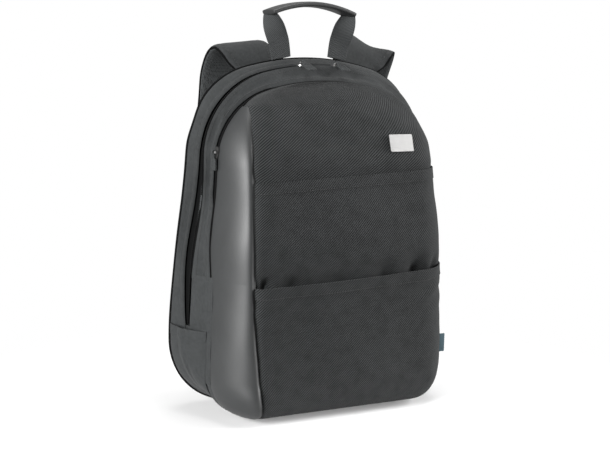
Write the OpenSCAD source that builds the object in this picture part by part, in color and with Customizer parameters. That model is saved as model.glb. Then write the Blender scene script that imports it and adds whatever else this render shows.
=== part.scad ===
// Laptop-type school backpack, standing on its base. Millimetres.
// Origin on the floor under the middle of the bag, +X to the viewer's right,
// +Y towards the wearer's back, +Z up.

/* [Body] */
// Width of the bag over its back edge
body_w = 328; // [280:1:400]
// Height of the back edge at its crown
body_h = 403; // [330:1:490]
// Distance of the back edge behind the origin, at the base
back_y = 66; // [54:1:80]
// Distance of the front face before the origin
front_y = 62; // [50:1:76]
// How far each side draws in from the base corner to the shoulder
shoulder_in = 12; // [8:1:24]
// How far the back edge leans forward above the hollow of the back
back_lean = 18; // [8:1:24]
// Thickness of the gusset and base cloth with its lining
cloth_t = 2.5; // [1.5:0.1:3.2]
// Thickness of the padded back panel
back_t = 3.5; // [2:0.1:5]
// Seam clearance between neighbouring panels
seam = 0.3; // [0.2:0.05:0.6]

/* [Outline] */
// Radius of the crown of the back edge
top_r = 320; // [280:5:380]
// Radius of the shoulders of the back edge
shoulder_r = 93; // [76:1:120]
// Radius of the lower corners at the back and the main zip
corner_r = 80; // [60:1:92]
// Radius of the lower corners of the front
front_corner_r = 50; // [44:1:70]

/* [Zips] */
// Main zip line behind the origin, at the base
main_y = 35; // [30:1:42]
// How far the main zip line leans forward at the top
main_lean = 8; // [4:1:12]
// How far the main zip outline lies inside the back edge at the sides
main_in = 8; // [4:1:12]
// How far the main zip crown lies below the back crown
main_drop = 7; // [4:1:12]
// Radius of the main zip's crown
main_top_r = 290; // [260:5:340]
// Radius of the main zip's shoulders
main_shoulder_r = 98; // [76:1:115]
// Front zip line behind the origin, at the base
front_zip_y = -4; // [-8:1:2]
// How far the front zip line leans back at the top
front_lean = 10; // [4:1:12]
// How far the front zip outline lies inside the back edge at the sides
front_in = 16; // [12:1:22]
// How far the front zip crown lies below the back crown
front_drop = 24; // [14:1:30]
// Radius of the front zip's crown
front_top_r = 270; // [240:5:320]
// Radius of the front zip's shoulders
front_shoulder_r = 86; // [70:1:100]
// Half the width of a zip, over both tapes
zip_half = 5.5; // [5.2:0.1:6.5]
// Half the gap between the two tape edges, where the chain runs
chain_half = 1; // [0.9:0.1:1.4]
// Thickness of a zip tape
tape_t = 1.2; // [0.8:0.1:1.6]
// How far a tape lies under the gusset cloth
tape_in = 0.8; // [0.4:0.1:1.2]
// Height at which the main zip ends on each side
zip_low = 101; // [90:1:130]

/* [Front shell] */
// Height of the fold in the front, at the mouth of the lower pocket
fold_z = 160; // [140:1:180]
// Height of the mouth of the upper pocket
upper_z = 274; // [250:1:300]
// Width of the rolled edge round the front face
roll_w = 48; // [36:1:56]
// Height of the rolled edge at the base
base_roll = 22; // [16:1:30]
// Height above which the front face leans back
face_lean_z = 190; // [170:1:210]
// How far the face has leaned back at the crown
face_lean = 46; // [36:1:54]
// Width of the leather seen from the front, at its narrowest
leather_w = 28; // [20:1:40]
// How far the seam curves towards the middle at the top and the base
leather_bow = 12; // [6:1:16]
// Thickness of the front cloth and leather
front_t = 1.6; // [1:0.1:2.4]
// Room in each slip pocket
pocket_gap = 7; // [5:0.5:9]
// How far the mouth of the lower pocket stands off
lower_swell = 6; // [4:0.5:8]
// How far the mouth of the upper pocket stands off
upper_swell = 3; // [2:0.5:5]

/* [Side pockets] */
// Height of the mouth of a side pocket
side_top = 99; // [86:1:120]
// Lowest point of a side pocket
side_low = 14; // [10:1:24]
// Room in a side pocket at its mouth
side_room = 9; // [6:0.5:12]

/* [Back] */
// Thickness of a back pad at its crown
pad_t = 11; // [7:0.5:14]
// Half the width of the channel between the upper pads
channel_half = 16; // [10:1:24]
// Outer edge of the upper pads, inside the side edge
pad_in = 52; // [42:1:64]
// Space in front of the back panel for a laptop
laptop_room = 20; // [16:1:24]
// Thickness of the laptop sleeve
sleeve_t = 4; // [3:0.5:6]
// Height of the laptop sleeve
sleeve_top = 262; // [230:1:290]

/* [Carry loop] */
// Half the distance between the feet of the loop
loop_foot = 37; // [30:1:44]
// Half the width of the loop at the grip
loop_half = 52; // [46:1:60]
// Height of the grip's crown above the pivot of the loop
loop_rise = 71; // [60:1:80]
// Height of the arch of the grip
grip_arch = 19; // [12:1:22]
// Width of the loop webbing
loop_w = 25; // [20:1:30]
// Thickness of the loop webbing
loop_t = 2.2; // [1.6:0.1:3]
// Width of the wrapped grip
grip_w = 30; // [26:1:36]
// Thickness of the wrapped grip
grip_t = 6; // [5:0.5:9]

/* [Shoulder straps] */
// Half the distance between the upper strap ends
strap_top_x = 60; // [52:1:66]
// Height of the upper strap ends
strap_top_z = 372; // [350:1:374]
// Distance of the lower strap ends inside the side edge
strap_low_in = 26; // [18:1:34]
// Height of the lower strap ends
strap_low_z = 50; // [42:1:60]
// Width of a shoulder strap
strap_w = 66; // [56:1:72]
// Thickness of a shoulder strap
strap_t = 12; // [9:0.5:15]
// How far the left strap spreads outwards
splay_left = 14; // [8:1:34]
// How far the right strap spreads outwards
splay_right = 52; // [20:1:56]
// How far the left strap tips outwards at the top of its loop, in degrees
tip_left = 6; // [0:1:15]
// How far the right strap tips outwards at the top of its loop, in degrees
tip_right = 22; // [0:1:25]
// Width of the adjusting webbing
web_w = 25; // [20:1:26]
// Thickness of the adjusting webbing
web_t = 1.8; // [1.4:0.1:2.2]

/* [Hardware] */
// Length of a zip slider
slider_l = 13; // [11:0.5:16]
// Width of a zip slider
slider_w = 9.6; // [8:0.2:10]
// Thickness of a slider plate
plate_t = 1.3; // [1:0.1:1.6]
// Length of a fabric pull
pull_l = 26; // [18:1:32]
// Width of a fabric pull
pull_w = 10; // [8:0.5:12]
// Thickness of a fabric pull
pull_t = 2; // [1.6:0.1:2.6]
// Width of the metal plate on the front
badge_w = 31; // [26:1:40]
// Height of the metal plate on the front
badge_h = 20; // [16:1:24]
// Thickness of the metal plate on the front
badge_t = 1.2; // [0.8:0.1:2]
// Middle of the metal plate, right of the middle of the bag
badge_x = 74; // [62:1:88]
// Middle of the metal plate above the floor
badge_z = 310; // [300:1:320]
// Length of a ladder lock
lock_l = 34; // [30:1:38]
// Thickness of a ladder lock's frame
lock_t = 4; // [3:0.5:5]

/* [Hidden] */
$fn = 48;
// Outline steps along a side, a shoulder and the crown
SIDE_N = 14;
SHOULDER_N = 7;
CROWN_N = 5;
// Heights between which the back hollow turns into the upper lean
LEAN_FROM = 90;
LEAN_TO = 250;
// Level where the base panel ends and the gussets start
BASE_Z = 40;
// Rest places of the sliders, as angles from the crown or the shoulder's start
MAIN_LEFT_A = -3.6;
MAIN_RIGHT_A = 5.4;
FRONT_A = 9;

// A station is the bag's outline at one depth: depth at the base, depth at the top,
// half-width at the base, half-width at the shoulder, crown, crown radius,
// shoulder radius, corner radius. A narrow bag gets tighter shoulders, which keeps a crown between them.
ARM_SHARE = 0.75;
function station(y, lean, inset, drop, crown_r, arm_r, low_r) =
    let (low = body_w / 2 - inset, high = low - shoulder_in)
    [y, y + lean, low, high, body_h - drop, crown_r, min(arm_r, ARM_SHARE * high), low_r];
REAR = station(back_y, -back_lean, 0, 0, top_r, shoulder_r, corner_r);
MAIN = station(main_y, -main_lean, main_in, main_drop, main_top_r, main_shoulder_r, corner_r);
FRONT = station(front_zip_y, front_lean, front_in, front_drop, front_top_r, front_shoulder_r, front_corner_r);

function clamp01(t) = min(max(t, 0), 1);
function smooth(t) = let (c = clamp01(t)) c * c * (3 - 2 * c);
function mix(a, b, t) = a + (b - a) * t;
function unit(v) = v / norm(v);
function shift(st, dy) = [st[0] + dy, st[1] + dy, st[2], st[3], st[4], st[5], st[6], st[7]];
function depth_at(st, z) = mix(st[0], st[1], smooth((z - LEAN_FROM) / (LEAN_TO - LEAN_FROM)));

// Height where the straight side ends, and the turn of the shoulder arc
function spring_z(st) = st[4] - st[5] + sqrt(pow(st[5] - st[6], 2) - pow(st[3] - st[6], 2));
function arch_turn(st) = atan2(spring_z(st) - st[4] + st[5], st[3] - st[6]);
function side_half(st, z) = mix(st[2], st[3], smooth((z - st[7]) / (spring_z(st) - st[7])));

// Half-width of a station's outline at one height, drawn in by t all round
function half_at(st, z, t = 0) =
    let (zs = spring_z(st), zt = zs + (st[6] - t) * sin(arch_turn(st)))
    z < st[7] ? st[2] - st[7] + sqrt(max(pow(st[7] - t, 2) - pow(st[7] - z, 2), 0)) :
    z < zs ? side_half(st, z) - t :
    z < zt ? st[3] - st[6] + sqrt(max(pow(st[6] - t, 2) - pow(z - zs, 2), 0)) :
    sqrt(max(pow(st[5] - t, 2) - pow(z - st[4] + st[5], 2), 0));

// Outline points: over the top, round the base, or up one side
function mirrored(half) = concat(half, [for (i = [len(half) - 1 : -1 : 0]) [-half[i][0], half[i][1]]]);
function upper_path(st, zc, t) =
    let (zs = spring_z(st), turn = arch_turn(st))
    let (side = [for (i = [0 : SIDE_N - 1]) let (z = mix(zc, zs, i / SIDE_N)) [half_at(st, z, t), z]])
    let (arm = [for (i = [0 : SHOULDER_N - 1]) let (a = turn * i / SHOULDER_N)
        [st[3] - st[6] + (st[6] - t) * cos(a), zs + (st[6] - t) * sin(a)]])
    let (crown = [for (i = [0 : CROWN_N - 1]) let (a = mix(turn, 90, i / (CROWN_N - 0.5)))
        [(st[5] - t) * cos(a), st[4] - st[5] + (st[5] - t) * sin(a)]])
    mirrored(concat(side, arm, crown));
function lower_path(st, zc, t) =
    let (from = asin((zc - st[7]) / (st[7] - t)))
    mirrored([for (i = [0 : SHOULDER_N]) let (a = mix(from, -90, i / SHOULDER_N))
        [st[2] - st[7] + (st[7] - t) * cos(a), st[7] + (st[7] - t) * sin(a)]]);
function side_path(st, z0, z1, t, side) =
    [for (i = [0 : SIDE_N]) let (z = mix(z0, z1, i / SIDE_N)) [side * half_at(st, z, t), z]];
function in_depth(st, path) = [for (p = path) [p[0], depth_at(st, p[1]), p[1]]];

// Closed solid from a ring of equally long lines, the second half facing the first
module loft(lines) {
    n = len(lines[0]);
    m = len(lines);
    sides = [for (k = [0 : m - 1], i = [0 : n - 2])
        let (a = k * n + i, b = ((k + 1) % m) * n + i)
        each [[a, b, a + 1], [a + 1, b, b + 1]]];
    starts = [for (k = [0 : m / 2 - 2])
        let (a = k * n, b = a + n, c = (m - 1 - k) * n, d = c - n)
        each [[a, c, b], [b, c, d]]];
    ends = [for (f = starts) [f[0] + n - 1, f[2] + n - 1, f[1] + n - 1]];
    polyhedron([for (line = lines) each line], concat(sides, starts, ends));
}
function backwards(list) = [for (i = [len(list) - 1 : -1 : 0]) list[i]];

// Cloth bands between stations, from inset t0 (outside) to t1 (inside)
module upper_band(sts, t0, t1, zc) {
    loft(concat(
        [for (st = sts) in_depth(st, upper_path(st, zc, t0))],
        backwards([for (st = sts) in_depth(st, upper_path(st, zc, t1))])));
}
module lower_band(sts, t0, t1, zc) {
    loft(concat(
        [for (st = sts) in_depth(st, backwards(lower_path(st, zc, t0)))],
        backwards([for (st = sts) in_depth(st, backwards(lower_path(st, zc, t1)))])));
}
module side_band(sts, t0, t1, z0, z1, side) {
    order = side > 0 ? sts : backwards(sts);
    loft(concat(
        [for (st = order) in_depth(st, side_path(st, z0, z1, t0, side))],
        backwards([for (st = order) in_depth(st, side_path(st, z0, z1, t1, side))])));
}
// Flat-across panel that fills a station's outline between two heights
module panel(st, y_near, y_far, z0, z1, t) {
    rows = 28;
    heights = [for (i = [0 : rows]) mix(z0, z1, sin(90 * i / rows))];
    loft(concat(
        [for (z = heights) let (h = half_at(st, z, t), y = depth_at(st, z) + y_near) [[-h, y, z], [h, y, z]]],
        [for (z = backwards(heights)) let (h = half_at(st, z, t), y = depth_at(st, z) + y_far)
            [[-h, y, z], [h, y, z]]]));
}
// Flexible strip swept along points [x, y, z, width, thickness, lie]; the lie says where
// the width points, as a turn about Z or as a direction
function strip_dir(pts, i) = unit([for (k = [0 : 2])
    pts[min(i + 1, len(pts) - 1)][k] - pts[max(i - 1, 0)][k]]);
function strip_ring(pts, i, shape) =
    let (p = pts[i], dir = strip_dir(pts, i))
    let (flat = is_list(p[5]) ? p[5] : [cos(p[5]), sin(p[5]), 0])
    let (wide = unit(flat - (flat * dir) * dir), thick = cross(dir, wide))
    [for (s = shape) [p[0], p[1], p[2]] + wide * s[0] * p[3] / 2 + thick * s[1] * p[4] / 2];
module strip(pts, shape) {
    rings = [for (i = [0 : len(pts) - 1]) strip_ring(pts, i, shape)];
    loft([for (k = [0 : len(shape) - 1]) [for (r = rings) r[k]]]);
}
FLAT = [[-1, -1], [-1, 1], [1, 1], [1, -1]];
PADDED = [[-1, 0], [-0.92, 0.72], [-0.6, 1], [0.6, 1], [0.92, 0.72], [1, 0],
    [0.92, -0.72], [0.6, -1], [-0.6, -1], [-0.92, -0.72]];

// Front shell: the face bulges forward from the front zip line and rolls over at its edges
function rim_y(z) = depth_at(FRONT, z) - zip_half;
function face_mid(z) = -front_y + face_lean * pow(clamp01((z - face_lean_z) / (FRONT[4] - face_lean_z)), 2);
function edge_gap(x, z) =
    let (ax = abs(x), zs = spring_z(FRONT), cx = FRONT[3] - FRONT[6], low_r = FRONT[7], bx = FRONT[2] - FRONT[7])
    let (base_k = roll_w / base_roll)
    z >= zs ? (ax > cx && atan2(z - zs, ax - cx) < arch_turn(FRONT)
        ? FRONT[6] - norm([ax - cx, z - zs]) : FRONT[5] - norm([ax, z - FRONT[4] + FRONT[5]])) :
    z >= low_r ? min(side_half(FRONT, z) - ax, z * base_k) :
    ax > bx ? (low_r - norm([ax - bx, low_r - z]))
        * mix(1, base_k, pow((low_r - z) / max(norm([ax - bx, low_r - z]), 0.01), 2)) :
    z * base_k;
function roll(q) = sqrt(1 - pow(1 - clamp01(q), 2.2));
function face_y(x, z, t) = rim_y(z) - (rim_y(z) - face_mid(z) - t) * roll((edge_gap(x, z) - t) / roll_w);

// Seam between leather and twill, and the heights where it meets the outline, found by halving
function leather_at(z) = FRONT[2] - leather_w - leather_bow * pow((z - 0.46 * body_h) / (0.43 * body_h), 2);
function leather_meet(inside, outside, steps) =
    let (z = (inside + outside) / 2, held = half_at(FRONT, z) > leather_at(z) + 1)
    steps == 0 ? z : leather_meet(held ? z : inside, held ? outside : z, steps - 1);
LEATHER_TOP = leather_meet(fold_z, FRONT[4], 30);
LEATHER_LOW = leather_meet(fold_z, 0, 30);
// Inset of the front panel: deep behind the upper pocket, level above its mouth
function panel_in(z) = mix(pocket_gap + front_t, seam, smooth((z - upper_z) / (4 * pocket_gap)));

// One row of front cloth, crowded towards the rolled edge; side -1 is leather, 1 is twill
CROSS_N = 12;
function face_row(z, t, side, swell) =
    let (h = half_at(FRONT, z, t), seam_x = -leather_at(z) + side * seam / 2)
    let (x0 = side < 0 ? -h : max(seam_x, -h), x1 = side < 0 ? seam_x : h)
    [for (i = [0 : CROSS_N]) let (u = i / CROSS_N, share = side < 0 ? 1 - cos(90 * u) : sin(90 * u))
        let (x = mix(x0, x1, share))
        [x, face_y(x, z, t) - swell * sqrt(sin(180 * share)), z]];
module face_patch(outer, inner, side) {
    loft(concat(
        [for (r = outer) face_row(r[0], r[1], side, r[2])],
        backwards([for (r = inner) face_row(r[0], r[1], side, r[2])])));
}
// Rows [height, inset, swell] from z0 to z1 at an even inset, crowded at the top or the base
function rows_up(z0, z1, t, n) = [for (j = [0 : n]) [mix(z0, z1, sin(90 * j / n)), t, 0]];
function rows_down(z0, z1, t, n) = [for (j = [0 : n]) [mix(z1, z0, sin(90 * (n - j) / n)), t, 0]];
// The same rows, swelling towards the mouth of a pocket
function to_mouth(rows, from, mouth, swell) =
    [for (r = rows) [r[0], r[1], swell * smooth((r[0] - from) / (mouth - from))]];

CHARCOAL = "#4b4d51";
TWILL = "#55575c";
LEATHER = "#2b2c2f";
BLACK = "#18191b";
STEEL = "#c9cbce";

// Stations along the side, where the gussets begin and end
SIDE_STS = [REAR, shift(MAIN, zip_half), shift(MAIN, -zip_half), shift(FRONT, zip_half)];

// Panels of the rear half
module back_panel() {
    color(CHARCOAL) panel(REAR, 2 * seam, 2 * seam + back_t, 0.5, body_h - 0.5, 0);
}
// Crowned pad on the back panel, with rounded corners
module back_pad(x0, x1, z0, z1) {
    nx = 8;
    nz = 12;
    edge = 22;
    gap = function(x, z) min(min(x - x0, x1 - x), min(z - z0, z1 - z));
    rise = function(x, z) 2 + (pad_t - 2) * roll(gap(x, z) / edge);
    seat = function(z) depth_at(REAR, z) + back_t + 4 * seam;
    wave = function(u) (1 - cos(180 * u)) / 2;
    xs = [for (i = [0 : nx]) mix(x0, x1, wave(i / nx))];
    zs = [for (j = [0 : nz]) mix(z0, z1, wave(j / nz))];
    loft(concat(
        [for (z = zs) [for (x = xs) [x, seat(z), z]]],
        [for (z = backwards(zs)) [for (x = xs) [x, seat(z) + rise(x, z), z]]]));
}
PAD_OUT = body_w / 2 - pad_in;
PAD_Z = [118, 322];
LUMBAR_Z = [34, 108];
module back_pad_left() {
    color(BLACK) back_pad(-PAD_OUT, -channel_half, PAD_Z[0], PAD_Z[1]);
}
module back_pad_right() {
    color(BLACK) back_pad(channel_half, PAD_OUT, PAD_Z[0], PAD_Z[1]);
}
module lumbar_pad() {
    color(BLACK) back_pad(-PAD_OUT + 16, PAD_OUT - 16, LUMBAR_Z[0], LUMBAR_Z[1]);
}
module rear_gusset() {
    color(CHARCOAL) upper_band([REAR, shift(MAIN, zip_half)], 0, cloth_t, BASE_Z + seam);
}
module base_panel() {
    color(CHARCOAL) lower_band(concat(SIDE_STS, [shift(FRONT, seam - zip_half)]), 0, cloth_t, BASE_Z);
}
// Strip that closes the gap below each end of the main zip
module zip_end_tabs() {
    sts = [shift(MAIN, zip_half - seam), shift(MAIN, seam - zip_half)];
    for (side = [-1, 1])
        color(CHARCOAL) side_band(sts, 0, cloth_t, BASE_Z + seam, zip_low - seam, side);
}
// Side pocket: a cloth that bulges from the gussets and is open at the top
module side_pocket(side) {
    nd = 10;
    nz = 8;
    back = mix(SIDE_STS[0], SIDE_STS[1], 0.15);
    along = function(u) u < 0.4 ? mix(back, SIDE_STS[1], u / 0.4) :
        u < 0.6 ? mix(SIDE_STS[1], SIDE_STS[2], (u - 0.4) / 0.2) : mix(SIDE_STS[2], SIDE_STS[3], (u - 0.6) / 0.4);
    stand = function(u, v) 2 * seam + side_room * pow(sin(180 * u), 0.6) * pow(sin(90 * v), 0.7);
    skin = function(u, v, extra)
        let (z = mix(side_low, side_top, v), st = along(u))
        [side * half_at(st, z, -stand(u, v) - extra), depth_at(st, z), z];
    row = function(v, extra) [for (i = [0 : nd]) skin(side > 0 ? i / nd : 1 - i / nd, v, extra)];
    loft(concat(
        [for (j = [0 : nz]) row(1 - j / nz, front_t)],
        [for (j = [0 : nz]) row(j / nz, 0)]));
}
module side_pocket_left() {
    color(CHARCOAL) side_pocket(-1);
}
module side_pocket_right() {
    color(CHARCOAL) side_pocket(1);
}
module laptop_sleeve() {
    color(BLACK) panel(REAR, -laptop_room - sleeve_t, -laptop_room, cloth_t + 2, sleeve_top,
        main_in + cloth_t + 2 * seam);
}
module sleeve_strap() {
    y_back = depth_at(REAR, LEAN_TO) - 1;
    y_front = y_back - laptop_room - sleeve_t - 1.6;
    color(BLACK) strip([
        [0, y_back, sleeve_top + 60, 38, 2, 0], [0, y_back - 5, sleeve_top + 56, 38, 2, 0],
        [0, mix(y_back, y_front, 0.8), sleeve_top + 24, 38, 2, 0],
        [0, y_front, sleeve_top + 6, 38, 2, 0], [0, y_front, sleeve_top - 40, 38, 2, 0]], FLAT);
}
module main_zip_rear_tape() {
    sts = [shift(MAIN, zip_half - seam), shift(MAIN, chain_half)];
    color(BLACK) upper_band(sts, tape_in, tape_in + tape_t, zip_low);
}

// Front half: what folds forward when the main zip is open
module main_zip_front_tape() {
    sts = [shift(MAIN, -chain_half), shift(MAIN, seam - zip_half)];
    color(BLACK) upper_band(sts, tape_in, tape_in + tape_t, fold_z + seam);
}
module front_gusset() {
    sts = [shift(MAIN, -zip_half), shift(FRONT, zip_half)];
    color(CHARCOAL) upper_band(sts, 0, cloth_t, fold_z + seam);
}
module front_gusset_lower() {
    sts = [shift(MAIN, -zip_half), shift(FRONT, zip_half), shift(FRONT, seam - zip_half)];
    for (side = [-1, 1])
        color(CHARCOAL) side_band(sts, 0, cloth_t, BASE_Z + seam, fold_z - seam, side);
}
// The dividing cloth hangs behind the room of the front slider
DIVIDER_Y = zip_half + 2 * seam;
module divider_panel() {
    color(BLACK) panel(FRONT, DIVIDER_Y, DIVIDER_Y + 2, fold_z + seam, FRONT[4] - cloth_t - 1, cloth_t + seam);
}
module divider_panel_lower() {
    color(BLACK) panel(FRONT, DIVIDER_Y, DIVIDER_Y + 2, cloth_t + 2, fold_z - seam, cloth_t + 6 * seam);
}
module front_zip_rear_tape() {
    sts = [shift(FRONT, zip_half - seam), shift(FRONT, chain_half)];
    color(BLACK) upper_band(sts, tape_in, tape_in + tape_t, fold_z + seam);
}

// Front flap and the fixed front below the fold
ROWS = 10;
module front_zip_front_tape() {
    sts = [shift(FRONT, -chain_half), shift(FRONT, seam - zip_half)];
    color(BLACK) upper_band(sts, tape_in, tape_in + tape_t, fold_z + seam);
}
module front_panel() {
    top = FRONT[4] - seam;
    low = [for (j = [0 : 2]) mix(fold_z + seam, upper_z, j / 3)];
    bend = [for (j = [0 : 4]) upper_z + 4 * pocket_gap * j / 4];
    high = [for (j = [1 : ROWS]) mix(bend[4], top, sin(90 * j / ROWS))];
    outer = [for (z = concat(low, bend, high)) [min(z, top - panel_in(z)), panel_in(z), 0]];
    inner = [for (z = concat(low, bend, high))
        [min(z, top - panel_in(z) - front_t), panel_in(z) + front_t, 0]];
    color(TWILL) face_patch(backwards(outer), backwards(inner), 1);
}
module front_panel_lower() {
    t = pocket_gap + front_t;
    color(TWILL) face_patch(
        backwards(rows_down(t, fold_z - seam, t, ROWS)),
        backwards(rows_down(t + front_t, fold_z - seam, t + front_t, ROWS)), 1);
}
module leather_panel() {
    color(LEATHER) face_patch(
        backwards(rows_up(fold_z + seam, LEATHER_TOP, 0, ROWS)),
        backwards(rows_up(fold_z + seam, LEATHER_TOP - 2 * front_t, front_t, ROWS)), -1);
}
module leather_panel_lower() {
    color(LEATHER) face_patch(
        backwards(rows_down(LEATHER_LOW, fold_z - seam, 0, ROWS)),
        backwards(rows_down(LEATHER_LOW + 2 * front_t, fold_z - seam, front_t, ROWS)), -1);
}
module upper_pocket() {
    from = mix(fold_z, upper_z, 0.25);
    even = function(t) [for (j = [0 : ROWS]) [mix(fold_z + seam, upper_z, j / ROWS), t, 0]];
    color(TWILL) face_patch(
        backwards(to_mouth(even(seam), from, upper_z, upper_swell)),
        backwards(to_mouth(even(seam + front_t), from, upper_z, upper_swell)), 1);
}
module lower_pocket() {
    from = 0.4 * fold_z;
    color(TWILL) face_patch(
        backwards(to_mouth(rows_down(0, fold_z - seam, 0, ROWS), from, fold_z, lower_swell)),
        backwards(to_mouth(rows_down(front_t, fold_z - seam, front_t, ROWS), from, fold_z, lower_swell)), 1);
}
// Flat plate, laid on the front panel by the slope of the cloth under its middle
module metal_plate() {
    step = 4;
    cloth = function(x, z) face_y(x, z, panel_in(z));
    slope_x = (cloth(badge_x + step, badge_z) - cloth(badge_x - step, badge_z)) / (2 * step);
    slope_z = (cloth(badge_x, badge_z + step) - cloth(badge_x, badge_z - step)) / (2 * step);
    corner = 1.5;
    color(STEEL) translate([badge_x, cloth(badge_x, badge_z) - seam, badge_z])
        rotate([90 - atan(slope_z), 0, atan(slope_x)])
        linear_extrude(badge_t) union() {
            square([badge_w - 2 * corner, badge_h], center = true);
            square([badge_w, badge_h - 2 * corner], center = true);
            for (sx = [-1, 1], sy = [-1, 1])
                translate([sx * (badge_w / 2 - corner), sy * (badge_h / 2 - corner)]) circle(corner);
        }
}
// Folded cloth tab caught in the right seam of the lower pocket
TAB = [9, 1.8, 22];
TAB_Z = 66;
TAB_Y = -30;
module side_tab() {
    share = (rim_y(TAB_Z) - TAB_Y) / (rim_y(TAB_Z) - face_mid(TAB_Z));
    inset = roll_w * (1 - pow(1 - pow(share, 2), 1 / 2.2));
    x = half_at(FRONT, TAB_Z) - inset + 2 * seam;
    color("#2f4a52") translate([x, TAB_Y - TAB[1] / 2, TAB_Z - TAB[2] / 2]) cube(TAB);
}

// Zip slider: two plates with side rails, a neck between the tapes and a bail on top.
// It runs along X, with the tapes in the XY plane.
NECK = 1.4;
SLOT = 1.5;
module slider_plate() {
    nose = slider_w / 2;
    linear_extrude(plate_t) union() {
        translate([-slider_l / 2 + nose, 0]) circle(nose);
        translate([-slider_l / 2 + nose, -nose]) square([slider_l - nose - 1, slider_w]);
        translate([slider_l / 2 - 2, -nose + 1.5]) square([2, slider_w - 3]);
    }
}
BAIL_Z = SLOT + plate_t;
BAIL_R = 2.6;
BAIL_T = 1.3;
BAIL_W = 2.4;
module bail() {
    translate([0, BAIL_W / 2, BAIL_Z - 0.05]) rotate([90, 0, 0]) linear_extrude(BAIL_W) difference() {
        circle(BAIL_R + BAIL_T);
        circle(BAIL_R);
        translate([-10, -20]) square([20, 20]);
    }
}
// The bail bridges the slider lengthwise, or crosswise where the pull hangs along the zip
module zip_slider(bail_turn) {
    color(STEEL) {
        difference() {
            union() {
                translate([0, 0, SLOT]) slider_plate();
                translate([0, 0, -SLOT - plate_t]) slider_plate();
                translate([-slider_l / 2 + 1, -NECK / 2, -SLOT - 0.1]) cube([3.4, NECK, 2 * SLOT + 0.2]);
            }
            translate([-slider_l, -0.6, SLOT + plate_t - 0.35]) cube([slider_l / 2, 1.2, 1]);
        }
        rotate([0, 0, bail_turn]) bail();
    }
}
// Height of the tapes' middle below the outline
TAPE_MID = tape_in + tape_t / 2;
// Fabric pull: a ring round the bail's arch that becomes a flat tab
RING_IN = 1.65;
RING_OUT = 2.5;
RING_W = 3;
RING_Z = BAIL_Z + 3;
module fabric_pull(length) {
    color(BLACK) difference() {
        union() {
            translate([-RING_W / 2, 0, 0]) rotate([0, 90, 0]) cylinder(r = RING_OUT, h = RING_W);
            translate([-RING_W / 2, -8, -0.9]) cube([RING_W, 8, 1.8]);
            translate([-pull_w / 2, -length, -pull_t / 2]) cube([pull_w, length - 7.5, pull_t]);
        }
        translate([-RING_W, 0, 0]) rotate([0, 90, 0]) cylinder(r = RING_IN, h = 2 * RING_W);
        translate([-pull_w / 2 + 2, -length + 2, pull_t / 2 - 0.3]) cube([pull_w - 4, length - 12, 1]);
    }
}
module on_main_zip(angle) {
    translate([0, MAIN[1], MAIN[4] - MAIN[5]]) rotate([0, angle, 0])
        translate([0, 0, MAIN[5] - TAPE_MID]) children();
}
// A main pull lies forward on the edge of its slider, a front pull hangs along the zip
MAIN_PULL_TILT = 19;
FRONT_PULL_TILT = 11;
FRONT_PULL_L = 20;
module main_slider_left() {
    on_main_zip(MAIN_LEFT_A) zip_slider(0);
}
module main_slider_right() {
    on_main_zip(MAIN_RIGHT_A) rotate([0, 0, 180]) zip_slider(0);
}
module main_pull_left() {
    on_main_zip(MAIN_LEFT_A) translate([0, 0, RING_Z]) rotate([MAIN_PULL_TILT, 0, 0]) fabric_pull(pull_l);
}
module main_pull_right() {
    on_main_zip(MAIN_RIGHT_A) translate([0, 0, RING_Z]) rotate([MAIN_PULL_TILT, 0, 0]) fabric_pull(pull_l);
}
// Front slider on the left shoulder of the front zip
module on_front_zip(angle) {
    translate([FRONT[6] - FRONT[3], FRONT[1], spring_z(FRONT)]) rotate([0, angle - 90, 0])
        translate([0, 0, FRONT[6] - TAPE_MID]) children();
}
module front_slider() {
    on_front_zip(FRONT_A) rotate([0, 0, 180]) zip_slider(90);
}
module front_pull() {
    on_front_zip(FRONT_A) translate([0, 0, RING_Z]) rotate([0, 0, -90]) rotate([FRONT_PULL_TILT, 0, 0])
        fabric_pull(FRONT_PULL_L);
}

// Carry loop
LOOP_Y = REAR[1] - 3;
FOOT_R = 1.7;
FOOT_TURN = asin(loop_foot / top_r);
function crown_z(st, x) = st[4] - st[5] + sqrt(pow(st[5], 2) - pow(x, 2));
function roof_z(x, y) = mix(crown_z(REAR, x), crown_z(MAIN, x), (REAR[1] - y) / (REAR[1] - MAIN[1] - zip_half));
LOOP_Z = roof_z(loop_foot, LOOP_Y) + FOOT_R + 2 * seam;
LOOP_TIP = LOOP_Z + loop_rise - grip_arch;
function leg_point(side, along, up, turn) =
    [side * mix(loop_foot, loop_half, along), LOOP_Y, mix(LOOP_Z, LOOP_TIP, up), loop_w, loop_t, -turn];
module loop_leg(side) {
    strip([
        leg_point(side, 0, 0, 0), leg_point(side, 0.2, 0.35, 8), leg_point(side, 0.45, 0.55, 22),
        leg_point(side, 0.68, 0.72, 42), leg_point(side, 0.88, 0.88, 66), leg_point(side, 1, 1, 84)], FLAT);
    translate([side * loop_foot, LOOP_Y, LOOP_Z]) rotate([0, 90 + side * FOOT_TURN, 0])
        cylinder(r = FOOT_R, h = loop_w, center = true);
}
module handle_webbing() {
    color(BLACK) {
        loop_leg(-1);
        loop_leg(1);
    }
}
// Wrapped grip: an arch from leg to leg, flat side up
module handle_grip() {
    n = 12;
    tip = LOOP_TIP + grip_t / 2 - seam;
    rise = grip_arch - grip_t - 2 * seam;
    half = loop_half + 3;
    pts = [for (i = [0 : n]) let (u = 2 * i / n - 1)
        [half * u, LOOP_Y, tip + rise * (1 - pow(u, 2)), grip_w, grip_t, 90]];
    color(LEATHER) strip(pts, PADDED);
}

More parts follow.
